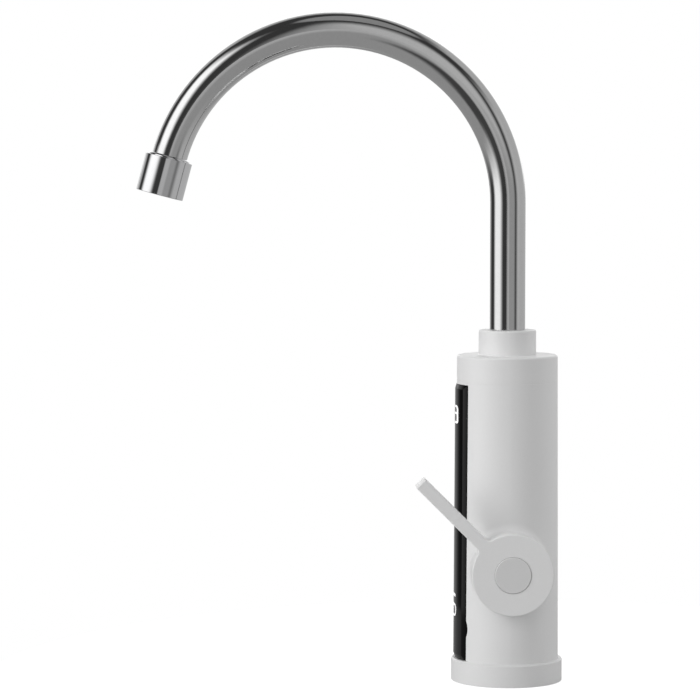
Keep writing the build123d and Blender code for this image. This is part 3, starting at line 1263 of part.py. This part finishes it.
# Ring nut that clamps the top cap and holds the clip down
with BuildPart() as spout_nut:
    ring(level(BODY_TOP_Z), SPOUT_NUT_R, SOCKET_R + SLIP, nut_lip_z - BODY_TOP_Z)
    ring(level(nut_lip_z), SPOUT_NUT_R, TUBE_R + FACE_GAP, SPOUT_NUT_LIP_T)
    with BuildSketch(level(nut_lip_z)):
        with PolarLocations(SPOUT_NUT_R, 4):
            Rectangle(NUT_SLOT, NUT_SLOT)
    extrude(amount=SPOUT_NUT_LIP_T, mode=Mode.SUBTRACT)
spout_nut.part.label = "spout_nut"
export_step(spout_nut.part, "parts/spout_nut.step")

# Plastic glide ring that the spout turns in, under the collar's lip
with BuildPart() as glide_ring:
    ring(level(nut_top), COLLAR_R - COLLAR_WALL - SLIP, TUBE_R + RUN, lip_under - nut_top)
glide_ring.part.label = "glide_ring"
export_step(glide_ring.part, "parts/glide_ring.step")

# Spout tail: brazed into the tube's foot, with grooves for the clip and the rubber rings
ring_groove_r = TUBE_R + RUN - 2 * (O_RING_R + RING_PLAY) - RING_PLAY
ring_levels = [tail_foot + up for up in O_RING_UP]
with BuildPart() as spout_tail:
    turned(
        (
            (TUBE_R - TAIL_WALL, tail_foot),
            (TUBE_R, tail_foot),
            (TUBE_R, TUBE_SEAT_Z),
            (TUBE_R - TUBE_WALL - SLIP, TUBE_SEAT_Z),
            (TUBE_R - TUBE_WALL - SLIP, TUBE_SEAT_Z + TAIL_SPIGOT_H),
            (TUBE_R - TAIL_WALL, TUBE_SEAT_Z + TAIL_SPIGOT_H),
        )
    )
    chamfer(rim(spout_tail, TUBE_R, tail_foot), TAIL_EDGE)
    clip_middle = socket_rim + CLIP_T / 2
    grooves([(TUBE_R, clip_middle)], 2 * (TUBE_R - clip_groove_r), CLIP_T + 2 * CLIP_PLAY)
    grooves([(TUBE_R, z) for z in ring_levels], 2 * (TUBE_R - ring_groove_r), 2 * (O_RING_R + O_RING_SIDE))
spout_tail.part.label = "spout_tail"
export_step(spout_tail.part, "parts/spout_tail.step")

with BuildPart() as spout_rings:
    rubber_rings([(ring_groove_r + O_RING_R + RING_PLAY, z) for z in ring_levels], O_RING_R)
spout_rings.part.label = "spout_rings"
export_step(spout_rings.part, "parts/spout_rings.step")

# Spout tube: a straight riser and one long bend
with BuildPart() as spout_tube:
    ring(level(TUBE_SEAT_Z), TUBE_R, TUBE_R - TUBE_WALL, ARC_Z - TUBE_SEAT_Z)
    with BuildSketch(level(ARC_Z)):
        Circle(TUBE_R)
        Circle(TUBE_R - TUBE_WALL, mode=Mode.SUBTRACT)
    revolve(axis=Axis((0, -ARC_R, ARC_Z), (1, 0, 0)), revolution_arc=ARC_SWEEP)
spout_tube.part.label = "spout_tube"
export_step(spout_tube.part, "parts/spout_tube.step")

# Outlet end of the spout: its axis follows the end of the bend
sweep_angle = radians(ARC_SWEEP)
tip = Vector(0, ARC_R * (cos(sweep_angle) - 1), ARC_Z + ARC_R * sin(sweep_angle))
outflow = Vector(0, -sin(sweep_angle), cos(sweep_angle))
tip_plane = Plane(origin=tip, x_dir=(1, 0, 0), z_dir=outflow)
tip_profile = Plane(origin=tip, x_dir=(1, 0, 0), z_dir=Vector(1, 0, 0).cross(outflow))

# Nozzle: a chromed sleeve over the tube's end, with a hollowed shoulder
lip_r = TUBE_R + SLIP + NOZZLE_LIP
with BuildPart() as nozzle:
    with BuildSketch(tip_profile):
        with BuildLine():
            Line((TUBE_R + SLIP, NOZZLE_SOCKET), (TUBE_R + SLIP, -NOZZLE_SHOULDER_R))
            Line((TUBE_R + SLIP, -NOZZLE_SHOULDER_R), (lip_r, -NOZZLE_SHOULDER_R))
            shoulder_end = (lip_r + NOZZLE_SHOULDER_R, 0)
            RadiusArc((lip_r, -NOZZLE_SHOULDER_R), shoulder_end, -NOZZLE_SHOULDER_R)
            Polyline(
                shoulder_end,
                (NOZZLE_R, 0),
                (NOZZLE_R, NOZZLE_L),
                (AERATOR_R, NOZZLE_L),
                (AERATOR_R, NOZZLE_L - AERATOR_DEPTH),
                (TUBE_R - TUBE_WALL, NOZZLE_L - AERATOR_DEPTH),
                (TUBE_R - TUBE_WALL, NOZZLE_SOCKET),
                (TUBE_R + SLIP, NOZZLE_SOCKET),
            )
        make_face()
    revolve(axis=Axis(tip, outflow))
    outer_rims = nozzle.edges().filter_by(GeomType.CIRCLE).filter_by(lambda e: abs(e.radius - NOZZLE_R) < 0.01)
    fillet(outer_rims, NOZZLE_EDGE_R)
nozzle.part.label = "nozzle"
export_step(nozzle.part, "parts/nozzle.step")

# Aerator: gasket, and a cartridge that screws up into the nozzle
gasket_down = NOZZLE_L - AERATOR_DEPTH
with BuildPart() as aerator_gasket:
    ring(tip_plane.offset(gasket_down), AERATOR_R - 2 * SLIP, AERATOR_GASKET_BORE_R, AERATOR_GASKET_T)
aerator_gasket.part.label = "aerator_gasket"
export_step(aerator_gasket.part, "parts/aerator_gasket.step")

aerator_head = gasket_down + AERATOR_GASKET_T
aerator_foot = NOZZLE_L - AERATOR_SUNK
with BuildPart() as aerator:
    aerator_l = aerator_foot - aerator_head
    ring(tip_plane.offset(aerator_head), AERATOR_R - SLIP, AERATOR_R - AERATOR_WALL, aerator_l)
    with BuildSketch(tip_plane.offset(aerator_foot - 2 * AERATOR_PLATE_T)):
        Circle(AERATOR_PLATE_R)
        with HexLocations(AERATOR_HOLE_STEP, 5, 5, major_radius=False):
            Circle(AERATOR_HOLE_R, mode=Mode.SUBTRACT)
    extrude(amount=AERATOR_PLATE_T)
aerator.part.label = "aerator"
export_step(aerator.part, "parts/aerator.step")
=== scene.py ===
"""Looks of an electric instant water heater tap: white body, black front panel, steel gooseneck.

Metres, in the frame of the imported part: +Z up, the panel and the spout towards -Y, the lever on +X.
Sizes of the panel, its marks and the spring are in millimetres and are multiplied by MM.
"""

import math

import bmesh
import bpy
import numpy as np
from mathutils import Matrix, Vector


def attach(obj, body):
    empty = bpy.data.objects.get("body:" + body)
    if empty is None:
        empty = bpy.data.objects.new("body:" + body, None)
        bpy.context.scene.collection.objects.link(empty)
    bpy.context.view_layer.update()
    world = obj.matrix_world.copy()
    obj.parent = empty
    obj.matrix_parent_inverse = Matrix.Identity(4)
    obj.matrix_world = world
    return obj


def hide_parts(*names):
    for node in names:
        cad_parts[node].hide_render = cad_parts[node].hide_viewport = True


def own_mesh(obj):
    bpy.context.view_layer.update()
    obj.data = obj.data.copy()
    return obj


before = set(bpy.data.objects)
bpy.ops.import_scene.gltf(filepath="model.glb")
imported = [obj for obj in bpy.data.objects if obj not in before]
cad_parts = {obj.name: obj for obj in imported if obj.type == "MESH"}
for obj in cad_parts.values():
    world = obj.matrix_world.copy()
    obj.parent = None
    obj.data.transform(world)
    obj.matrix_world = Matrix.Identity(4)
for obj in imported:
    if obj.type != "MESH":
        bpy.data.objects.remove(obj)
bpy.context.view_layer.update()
MM = 0.001

# The body and the panel on it, in millimetres: the marks and the panel's shine follow them
BODY_FOOT_R, BODY_TOP_R = 29.3, 28.45
BODY_FOOT_Z, BODY_TOP_Z = 12.8, 185.0
PANEL_PROUD = 1.0
PANEL_FACE_EDGE, PANEL_EDGE = 13.8, 16.4     # from the middle, where its side bevels start and end


# Node trees

def linear(code):
    """Linear colour of an sRGB hex code: each channel c becomes ((c + 0.055) / 1.055) ** 2.4."""
    channels = [int(code[k:k + 2], 16) / 255 for k in (1, 3, 5)]
    return [c / 12.92 if c <= 0.04045 else ((c + 0.055) / 1.055) ** 2.4 for c in channels] + [1.0]


def add(tree, kind, inputs=None, **settings):
    """Adds a node with its settings.

    Each input, by name or number, gets a value or another node's output.
    """
    made = tree.nodes.new(kind)
    for name, value in settings.items():
        setattr(made, name, value)
    for key, value in (inputs or {}).items():
        socket = made.inputs[key] if isinstance(key, int) else next(
            s for s in made.inputs if s.name == key and s.enabled)
        if isinstance(value, bpy.types.NodeSocket):
            tree.links.new(value, socket)
        else:
            socket.default_value = value
    return made


def calc(tree, operation, *values):
    """The result of a Math node on values or outputs."""
    return add(tree, "ShaderNodeMath", dict(enumerate(values)), operation=operation).outputs[0]


def ramp(tree, value, span, ends=(0.0, 1.0), shape="LINEAR"):
    """The value carried from the span's two ends to the ends given, and held beyond them."""
    inputs = {"Value": value, "From Min": span[0], "From Max": span[1],
              "To Min": ends[0], "To Max": ends[1]}
    return add(tree, "ShaderNodeMapRange", inputs, interpolation_type=shape).outputs[0]


def between(tree, factor, first, second):
    """The level at a factor between a first level, at 0, and a second, at 1."""
    return add(tree, "ShaderNodeMix", {"Factor": factor, "A": first, "B": second}).outputs[0]


def object_x(tree):
    """The Object coordinate along X, in metres."""
    place = add(tree, "ShaderNodeTexCoord").outputs["Object"]
    return add(tree, "ShaderNodeSeparateXYZ", {0: place}).outputs["X"]


GRAIN_DETAIL, GRAIN_ROUGHNESS = 3.0, 0.55


def surface(name, colours, grain_mm, roughness, relief_mm=0.0, stretch=(1, 1, 1), fixed=None):
    """A material whose colour, roughness and relief vary together with one noise pattern.

    colours and roughness hold the pattern's two ends, grain_mm is the size of one mottle in
    millimetres, relief_mm its height, stretch its squeeze along each axis, and fixed the sockets
    that are the same all over.
    """
    material = bpy.data.materials.new(name)
    material.use_nodes = True
    tree = material.node_tree
    shader = tree.nodes["Principled BSDF"]
    for key, value in (fixed or {}).items():
        shader.inputs[key].default_value = value
    place = add(tree, "ShaderNodeTexCoord").outputs["Object"]
    scaled = add(tree, "ShaderNodeMapping", {"Vector": place, "Scale": stretch}).outputs["Vector"]
    noise = {"Vector": scaled, "Scale": 1000 / grain_mm, "Detail": GRAIN_DETAIL,
             "Roughness": GRAIN_ROUGHNESS}
    grain = add(tree, "ShaderNodeTexNoise", noise).outputs["Fac"]
    ends = {"Factor": grain, "A": linear(colours[0]), "B": linear(colours[1])}
    colour = add(tree, "ShaderNodeMix", ends, data_type="RGBA")
    tree.links.new(next(s for s in colour.outputs if s.enabled), shader.inputs["Base Color"])
    tree.links.new(ramp(tree, grain, (0.0, 1.0), roughness), shader.inputs["Roughness"])
    if relief_mm:
        relief = {"Height": grain, "Distance": relief_mm * MM, "Strength": 1.0}
        bump = add(tree, "ShaderNodeBump", relief)
        tree.links.new(bump.outputs["Normal"], shader.inputs["Normal"])
    return material


# Injection-moulded ABS, gloss mould: very even, with a faint orange-peel ripple in its shine
white_abs = surface("moulded_white_abs", ("#E9E9E9", "#ECECEC"), 1.6, (0.40, 0.46), 0.004,
                    fixed={"IOR": 1.53})
# Acrylic strip, black from behind, with a hard coat that dulls its shine: hardly any texture.
# The cut bevels on its sides lose more of the shine towards their outer edge.
black_acrylic = surface("black_acrylic_strip", ("#050505", "#080809"), 3.0, (0.07, 0.11), 0.001,
                        fixed={"IOR": 1.49})
FACE_SHINE, EDGE_SHINE = 0.25, 0.10
tree = black_acrylic.node_tree
bevel = (PANEL_FACE_EDGE * MM, PANEL_EDGE * MM)
shine = ramp(tree, calc(tree, "ABSOLUTE", object_x(tree)), bevel, (FACE_SHINE, EDGE_SHINE))
tree.links.new(shine, tree.nodes["Principled BSDF"].inputs["Specular IOR Level"])
# ABS from a spark-eroded mould: satin, with a fine even grain
grey_abs = surface("satin_grey_abs", ("#DADADA", "#DEDEDE"), 0.5, (0.48, 0.58), 0.01,
                   fixed={"IOR": 1.53})
# 304 stainless tube, polished: soft mottles in the roughness
polished_steel = surface("polished_304_tube", ("#C9C9C9", "#D2D2D2"), 2.2, (0.06, 0.10),
                         fixed={"Metallic": 1.0})
# Bright chromium plate on brass: a mirror
chrome = surface("chrome_plate", ("#CFCFD0", "#D7D7D8"), 3.0, (0.04, 0.07),
                 fixed={"Metallic": 1.0})
# Acetal, moulded: milky white with a waxy sheen
acetal = surface("moulded_acetal", ("#D6D6D4", "#DEDEDC"), 0.9, (0.42, 0.52), 0.006,
                 fixed={"IOR": 1.48})
# Turned brass: fine rings from the tool show as narrow bands of shine
brass = surface("turned_brass", ("#C9A25C", "#D6B26C"), 0.5, (0.22, 0.36), 0.003, (1, 1, 6),
                {"Metallic": 1.0})
# Zinc-plated steel of the small fasteners and the spring: a little cloudy
zinc = surface("zinc_plated_steel", ("#B4B7BA", "#C4C7CA"), 0.8, (0.28, 0.42), 0.003,
               fixed={"Metallic": 1.0})
# Deep-drawn stainless sheet: drawn marks run up the wall
drawn_steel = surface("deep_drawn_steel", ("#BDBDBB", "#CBCBC9"), 1.5, (0.24, 0.38), 0.004,
                      (4, 4, 0.4), {"Metallic": 1.0})
# EPDM rubber, compression moulded: matte, dusty black
rubber = surface("epdm_rubber", ("#1B1B1C", "#242425"), 0.7, (0.72, 0.86), 0.01,
                 fixed={"IOR": 1.52})
# Alumina, lapped flat: ivory white with a silky face
alumina = surface("lapped_alumina", ("#EEEBE2", "#F4F2EA"), 0.3, (0.24, 0.32),
                  fixed={"IOR": 1.76})
# Glass-filled nylon: charcoal with the faint swirl of its fibres
filled_nylon = surface("glass_filled_nylon", ("#1D1D1F", "#2B2B2D"), 0.6, (0.50, 0.64), 0.012,
                       (1, 1, 3), {"IOR": 1.53})
# Unfilled nylon: warm white, a little waxy
nylon = surface("natural_nylon", ("#DDDACF", "#E5E2D8"), 1.1, (0.44, 0.54), 0.006,
                fixed={"IOR": 1.53})
# PBT case of the microswitch: fine grain, near black
switch_case = surface("pbt_switch_case", ("#1F2022", "#28292B"), 0.4, (0.46, 0.56), 0.008,
                      fixed={"IOR": 1.57})
# Red acetal of the switch's button
red_acetal = surface("red_acetal_button", ("#B02A20", "#BC3328"), 0.6, (0.34, 0.44), 0.004,
                     fixed={"IOR": 1.48})
# Closed-cell polyethylene foam: dark, with small cells
foam = surface("polyethylene_foam", ("#2A2A2A", "#3A3A3A"), 0.35, (0.84, 0.95), 0.05,
               fixed={"IOR": 1.50})
# Glass-epoxy board under green solder mask: copper tracks show as a faint lighter pattern
board = surface("green_solder_mask", ("#0E4A26", "#186636"), 1.8, (0.26, 0.36), 0.02,
                (1, 1, 0.35), {"IOR": 1.50})
# Black epoxy face of the display block
display_face = surface("black_epoxy_display", ("#0B0B0D", "#141418"), 1.0, (0.16, 0.24), 0.002,
                       fixed={"IOR": 1.55})
# Water-clear epoxy of the lamps, milky inside
lamp_epoxy = surface("clear_epoxy_lamp", ("#E6E9EC", "#F2F4F6"), 1.2, (0.06, 0.12),
                     fixed={"IOR": 1.55})
# Backlit white legend: even light through a printed film
legend = surface("backlit_legend", ("#F4F4F4", "#FFFFFF"), 0.8, (0.30, 0.38),
                 fixed={"Emission Color": linear("#FFFFFF"), "Emission Strength": 0.35})

made_of = {
    white_abs: "base_ring casing top_cap handle",
    black_acrylic: "front_panel",
    grey_abs: "handle_cap",
    polished_steel: "spout_tube",
    chrome: "nozzle",
    acetal: "aerator",
    brass: "inlet_socket outlet_socket spout_tail stem boss_nut spout_nut",
    zinc: "base_screws board_screws cover_screws tank_screws handle_screw spout_clip pin_spring",
    drawn_steel: "heater_tank heating_element hot_riser temperature_sensor",
    rubber: "deck_gasket inlet_ring cartridge_ring stem_rings spout_rings seat_seal tank_seal "
            "splash_ring aerator_gasket diaphragm",
    alumina: "fixed_disc turning_disc",
    filled_nylon: "valve_block tank_lid cable_gland gland_nut thermal_cutout",
    nylon: "cartridge_body switch_cover terminal_block glide_ring switch_pin inlet_nut "
           "inlet_filter",
    switch_case: "microswitch",
    red_acetal: "switch_button",
    foam: "panel_tape",
    board: "display_board",
    display_face: "display_module",
    lamp_epoxy: "indicator_lamps",
}
for material, names in made_of.items():
    for name in names.split():
        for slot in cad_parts[name].material_slots:
            slot.material = material


# Objects

def placed(name, data):
    """A new object at the origin, unturned, with its mesh, lamp or camera."""
    made = bpy.data.objects.new(name, data)
    bpy.context.scene.collection.objects.link(made)
    return made


def pointed(name, data, place, direction):
    """A lamp or camera at a place that looks along a direction."""
    made = placed(name, data)
    made.location = place
    made.rotation_mode = "QUATERNION"
    made.rotation_quaternion = direction.to_track_quat("-Z", "Y")
    return made


def piece(name, parts, material, body):
    """One mesh object from several (points, faces) parts, riding on a body."""
    points, faces, count = [], [], 0
    for part_points, part_faces in parts:
        points.append(part_points)
        faces += [[k + count for k in face] for face in part_faces]
        count += len(part_points)
    mesh = bpy.data.meshes.new(name)
    mesh.from_pydata(np.concatenate(points).tolist(), [], faces)
    mesh.validate()
    mesh.materials.append(material)
    made = placed(name, mesh)
    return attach(made, body)


# Marks on the front panel

def panel_points(across, z, lift):
    """Points on the panel's conical face, in metres, from millimetres.

    The face's radius r falls in a straight line from the body's foot to its top, plus PANEL_PROUD
    and the lift. A point at x = across lies at y = -sqrt(r**2 - x**2).
    """
    share = (z - BODY_FOOT_Z) / (BODY_TOP_Z - BODY_FOOT_Z)
    radius = BODY_FOOT_R + (BODY_TOP_R - BODY_FOOT_R) * share + PANEL_PROUD + lift
    return np.stack([across, -np.sqrt(radius**2 - across**2), z], -1) * MM


def rounded(corners, steps=8):
    """A path through (x, z, radius) corners, each replaced by a quadratic curve.

    Its points are c + a*(1-s)**2 + b*s**2, where a and b reach from the corner c one radius along
    its two sides and s runs from 0 to 1.
    """
    corners = np.array(corners, float)
    path = []
    for k, (x, z, radius) in enumerate(corners):
        corner = np.array((x, z))
        if not radius:
            path.append(corner[None])
            continue
        sides = [corners[j % len(corners), :2] - corner for j in (k - 1, k + 1)]
        before, after = (side / np.linalg.norm(side) * radius for side in sides)
        s = np.linspace(0, 1, steps)[:, None]
        path.append(corner + before * (1 - s)**2 + after * s**2)
    return np.concatenate(path)


def divided(path, step=0.5):
    """The path with points added evenly on each run, so that no run is longer than the step."""
    runs = np.linalg.norm(np.diff(path, axis=0), axis=1)
    counts = np.maximum(np.ceil(runs / step).astype(int), 1)
    whole = np.concatenate([[0.0], np.cumsum(counts)])
    place = np.arange(int(whole[-1]) + 1)
    return np.stack([np.interp(place, whole, path[:, k]) for k in (0, 1)], -1)


MARK_LIFT, MARK_SINK = 0.05, 0.02     # above and below the panel's face, in millimetres
LEAST_MITRE = 0.5                     # cosine past which a mitred corner grows no longer


def stroke(path, pen, closed=False):
    """A flat bar carried along a path on the panel by an oval pen of the given width and height.

    Each path point p moves by n*pen/2 to both sides, n the mitred normal of its two neighbours,
    and the section runs bottom left, bottom right, top right, top left.
    """
    path = divided(np.concatenate([path, path[:1]]))[:-1] if closed else divided(path)
    ahead = np.roll(path, -1, 0) - path
    behind = path - np.roll(path, 1, 0)
    if not closed:
        ahead[-1], behind[0] = behind[-1], ahead[0]
    ahead, behind = (v / np.linalg.norm(v, axis=1, keepdims=True) for v in (ahead, behind))
    tangent = ahead + behind
    tangent /= np.linalg.norm(tangent, axis=1, keepdims=True)
    normal = np.stack([tangent[:, 1], -tangent[:, 0]], -1)
    mitre = np.clip((tangent * ahead).sum(1, keepdims=True), LEAST_MITRE, 1)
    reach = normal * np.array(pen) / 2 / mitre
    flat = np.stack([path - reach, path + reach, path + reach, path - reach], 1)
    rows = len(path)
    lift = np.array([-MARK_SINK, -MARK_SINK, MARK_LIFT, MARK_LIFT])[None].repeat(rows, 0)
    points = panel_points(flat[..., 0], flat[..., 1], lift).reshape(-1, 3)
    i, j = np.meshgrid(np.arange(rows if closed else rows - 1), np.arange(4), indexing="ij")
    row, side = (i + 1) % rows, (j + 1) % 4
    quads = np.stack([i * 4 + j, row * 4 + j, row * 4 + side, i * 4 + side], -1)
    quads = quads.reshape(-1, 4).tolist()
    if not closed:
        quads += [[0, 1, 2, 3], [rows * 4 - 1, rows * 4 - 2, rows * 4 - 3, rows * 4 - 4]]
    return points, quads


# Number display: two digits of 6.8 by 10.3 mm, drawn along the middle of their strokes
PEN = (2.6, 1.25)
FOOT, MIDDLE, HEAD = 147.15, 152.3, 156.2
INNER, OUTER = 1.9, 7.4
STEM = -3.2                           # x of the four's upright
BAR = MIDDLE - 1                      # height of the four's bar
three = [
    stroke(rounded([(INNER, HEAD, 0), (OUTER, HEAD, 2.4), (OUTER, FOOT, 1.0), (INNER, FOOT, 0)]),
           PEN),
    stroke(np.array([(INNER, MIDDLE), (OUTER, MIDDLE)]), PEN),
]
four = [
    stroke(rounded([(-OUTER, HEAD, 0), (-OUTER, BAR, 0.8), (STEM, BAR, 0)]), PEN),
    stroke(np.array([(STEM, HEAD + PEN[1] / 2), (STEM, FOOT - PEN[1] / 2)]), PEN),
]
piece("number_43", four + three, legend, "body")

# Lower mark over the two lamps: a rounded frame under a shallow arch
FRAME_Z, FRAME_W, FRAME_H, FRAME_ROUND, FRAME_PEN = 40.45, 13.5, 6.1, 2.6, (1.2, 1.2)
ARCH_R, ARCH_AT, ARCH_REACH, ARCH_PEN = 40, 9.15, 8.6, (1.6, 1.6)     # reach in degrees
frame_corners = [(x * FRAME_W / 2, FRAME_Z + z * FRAME_H / 2, FRAME_ROUND)
                 for x, z in ((-1, -1), (1, -1), (1, 1), (-1, 1))]
bow = np.radians(np.linspace(90 + ARCH_REACH, 90 - ARCH_REACH, 24))
arch = np.stack([ARCH_R * np.cos(bow), ARCH_AT + ARCH_R * np.sin(bow)], -1)
heat_mark = [stroke(rounded(frame_corners), FRAME_PEN, True), stroke(arch, ARCH_PEN)]
piece("heat_mark", heat_mark, legend, "body")


# Return spring of the flow pin: a merged copy of the CAD coil, riding on the body in place of the
# CAD spring, which is hidden.
MERGE = 0.001                         # distance within which corners are one, in millimetres
cad_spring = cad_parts["pin_spring"]
coil = bmesh.new()
coil.from_mesh(cad_spring.data)
coil.transform(cad_spring.matrix_world)
bmesh.ops.remove_doubles(coil, verts=coil.verts, dist=MERGE * MM)
spring_mesh = bpy.data.meshes.new("pin_spring_coil")
coil.to_mesh(spring_mesh)
coil.free()
spring_mesh.shade_smooth()
spring_mesh.materials.clear()
spring_mesh.materials.append(zinc)
spring = placed("pin_spring_coil", spring_mesh)
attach(spring, "body")
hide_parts("pin_spring")
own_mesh(spring)


# Floor, backdrop, light and camera

def with_backdrop(tree, level, x, span):
    """The level that mirrored and clear surfaces see, turned to white behind the tap.

    x passes from one end of the span to the other there. Returned with a factor of 1 for those
    surfaces and one for the camera.
    """
    rays = add(tree, "ShaderNodeLightPath").outputs
    glance = calc(tree, "MAXIMUM", rays["Is Glossy Ray"], rays["Is Transmission Ray"])
    behind = calc(tree, "MULTIPLY", ramp(tree, x, span), glance)
    return between(tree, behind, level, 1.0), glance, rays["Is Camera Ray"]


# A pale round floor, just as large as the tap's soft shadow. Its glow makes it white to the camera
# alone. Metal and gloss see it as an even grey, and white behind the tap.
FLOOR_R, FLOOR_DROP, FLOOR_SIDES = 0.3, 0.0002, 64
FLOOR_LEVEL, FLOOR_GLOW, FLOOR_PAINT = 0.385, 0.8, "#C8C8C8"
FLOOR_WHITE = (-0.22, -0.3)           # x between which its mirrored level turns white
turn = np.linspace(0, 2 * np.pi, FLOOR_SIDES, endpoint=False)
rim = np.stack([FLOOR_R * np.cos(turn), FLOOR_R * np.sin(turn), 0 * turn - FLOOR_DROP], -1)
floor_mesh = bpy.data.meshes.new("floor")
floor_mesh.from_pydata(rim.tolist(), [], [list(range(FLOOR_SIDES))])
floor = placed("floor", floor_mesh)
floor_material = bpy.data.materials.new("white_floor")
floor_material.use_nodes = True
tree = floor_material.node_tree
tree.nodes.clear()
white = linear("#FFFFFF")
shown, glance, seen = with_backdrop(tree, FLOOR_LEVEL, object_x(tree), FLOOR_WHITE)
glow = {"Color": white, "Strength": calc(tree, "MULTIPLY", seen, FLOOR_GLOW)}
glow = add(tree, "ShaderNodeEmission", glow).outputs[0]
paint = add(tree, "ShaderNodeBsdfDiffuse", {"Color": linear(FLOOR_PAINT)}).outputs[0]
paint = add(tree, "ShaderNodeAddShader", {0: paint, 1: glow}).outputs[0]
mirrored = add(tree, "ShaderNodeEmission", {"Color": white, "Strength": shown}).outputs[0]
both = add(tree, "ShaderNodeMixShader", {0: glance, 1: paint, 2: mirrored}).outputs[0]
add(tree, "ShaderNodeOutputMaterial", {"Surface": both})
floor_mesh.materials.append(floor_material)

# The studio round the tap as a world of cards over a dark ground. Each has the azimuths between
# which it fades in and out, from +X and positive towards +Y, then the same for the elevation, all
# in degrees, and its level.
GROUND_LEVEL = 0.05
ALL_LEFT, ALL_RIGHT, ALL_DOWN = (-200, -190), (190, 200), (-95, -92)
CARDS = (
    (ALL_LEFT, ALL_RIGHT, ALL_DOWN, (-20, -5), FLOOR_LEVEL),   # floor of the room
    (ALL_LEFT, (-152, -130), (-20, -10), (2, 6), 0.46),        # foot of the backdrop, left
    (ALL_LEFT, (-134, -118), (2, 7), (46, 64), 0.55),          # wall behind on the left
    (ALL_LEFT, (-160, -140), (2, 7), (18, 44), 1.45),          # backdrop, left
    ((46, 68), ALL_RIGHT, (-44, -6), (24, 42), 0.61),          # pale wall on the right
    ((66, 90), ALL_RIGHT, (-44, -6), (47, 64), 0.57),          # its higher part
    ((130, 158), ALL_RIGHT, (0, 4), (22, 44), 1.45),           # backdrop, right
    ((-62, -44), (-16, -4), (-48, -28), (-8, -2), 0.07),       # dark corner, front left
    ((-14, -2), (34, 50), (-26, -12), (4, 10), 0.40),          # wall behind the camera
    ((-10, 6), (26, 48), (0, 10), (28, 56), 0.62),             # its brighter upper part
    ((-14, -7), (6, 16), (-16, -8), (2, 6), 0.56),             # a brighter patch of it
    ((-109, -87), (-61, -33), (-26, -4), (14, 19), 1.32),      # large softbox on the left
    ((-99, -77), (-52, -25), (6, 16), (41, 60), 1.57),         # its brighter upper part
)
# The ceiling is a round card: azimuth and elevation of its middle, and the angles off it between
# which it fades in, in degrees
CEILING_AT, CEILING_REACH, CEILING_LEVEL = (40, 77), (22, 17), 0.33
BACKDROP_WHITE = (-0.985, -0.995)     # x of the direction between which the backdrop turns white
world = bpy.data.worlds.new("studio")
bpy.context.scene.world = world
world.use_nodes = True
tree = world.node_tree
tree.nodes.clear()
direction = add(tree, "ShaderNodeTexCoord").outputs["Generated"]
way = add(tree, "ShaderNodeSeparateXYZ", {0: direction}).outputs
azimuth = calc(tree, "ARCTAN2", way["Y"], way["X"])
elevation = calc(tree, "ARCSINE", way["Z"])
RISING, FALLING = (0.0, 1.0), (1.0, 0.0)
level = GROUND_LEVEL
for left, right, low, high, strength in CARDS:
    mask = 1.0
    for angle, span, ends in ((azimuth, left, RISING), (azimuth, right, FALLING),
                              (elevation, low, RISING), (elevation, high, FALLING)):
        span = [math.radians(end) for end in span]
        mask = calc(tree, "MULTIPLY", ramp(tree, angle, span, ends, "SMOOTHSTEP"), mask)
    level = between(tree, mask, level, strength)
# By the cosine of the angle between the direction and the ceiling's middle
across, up = (math.radians(angle) for angle in CEILING_AT)
middle = (math.cos(across) * math.cos(up), math.sin(across) * math.cos(up), math.sin(up))
near = add(tree, "ShaderNodeVectorMath", {0: direction, 1: middle}, operation="DOT_PRODUCT")
reach = [math.cos(math.radians(angle)) for angle in CEILING_REACH]
mask = ramp(tree, near.outputs["Value"], reach, shape="SMOOTHSTEP")
level = between(tree, mask, level, CEILING_LEVEL)
shown, glance, seen = with_backdrop(tree, level, way["X"], BACKDROP_WHITE)
sky = {"Color": white, "Strength": between(tree, seen, shown, 1.0)}
sky = add(tree, "ShaderNodeBackground", sky)
add(tree, "ShaderNodeOutputWorld", {"Surface": sky.outputs[0]})

LAMPS_AIM = Vector((0, -0.05, 0.16))
LAMPS = (
    # name, place, size, power in watts
    ("key_softbox", (0.9, -1.9, 0.9), 1.2, 15.3),
    ("top_softbox", (0.3, 0.0, 2.1), 1.4, 7.2),
    ("right_fill", (-0.2, 1.8, 0.7), 1.4, 5.9),
    ("front_fill", (2.2, -0.2, 1.0), 1.2, 4.7),
)
for name, place, size, power in LAMPS:
    lamp = bpy.data.lights.new(name, "AREA")
    lamp.shape, lamp.size, lamp.energy = "SQUARE", size, power
    holder = pointed(name, lamp, place, LAMPS_AIM - Vector(place))
    holder.visible_glossy = False     # mirrors see the cards instead

# Camera, fitted to the photo
CAMERA_AT, CAMERA_WAY = (1.69061, -0.13625, 0.29953), Vector((-0.99743, 0.02784, -0.06595))
camera = bpy.data.cameras.new("camera")
camera.lens, camera.sensor_width = 154.29, 36.0
camera.clip_end = 30.0
view = pointed("camera", camera, CAMERA_AT, CAMERA_WAY)
bpy.context.scene.camera = view
bpy.context.scene.view_settings.view_transform = "Standard"
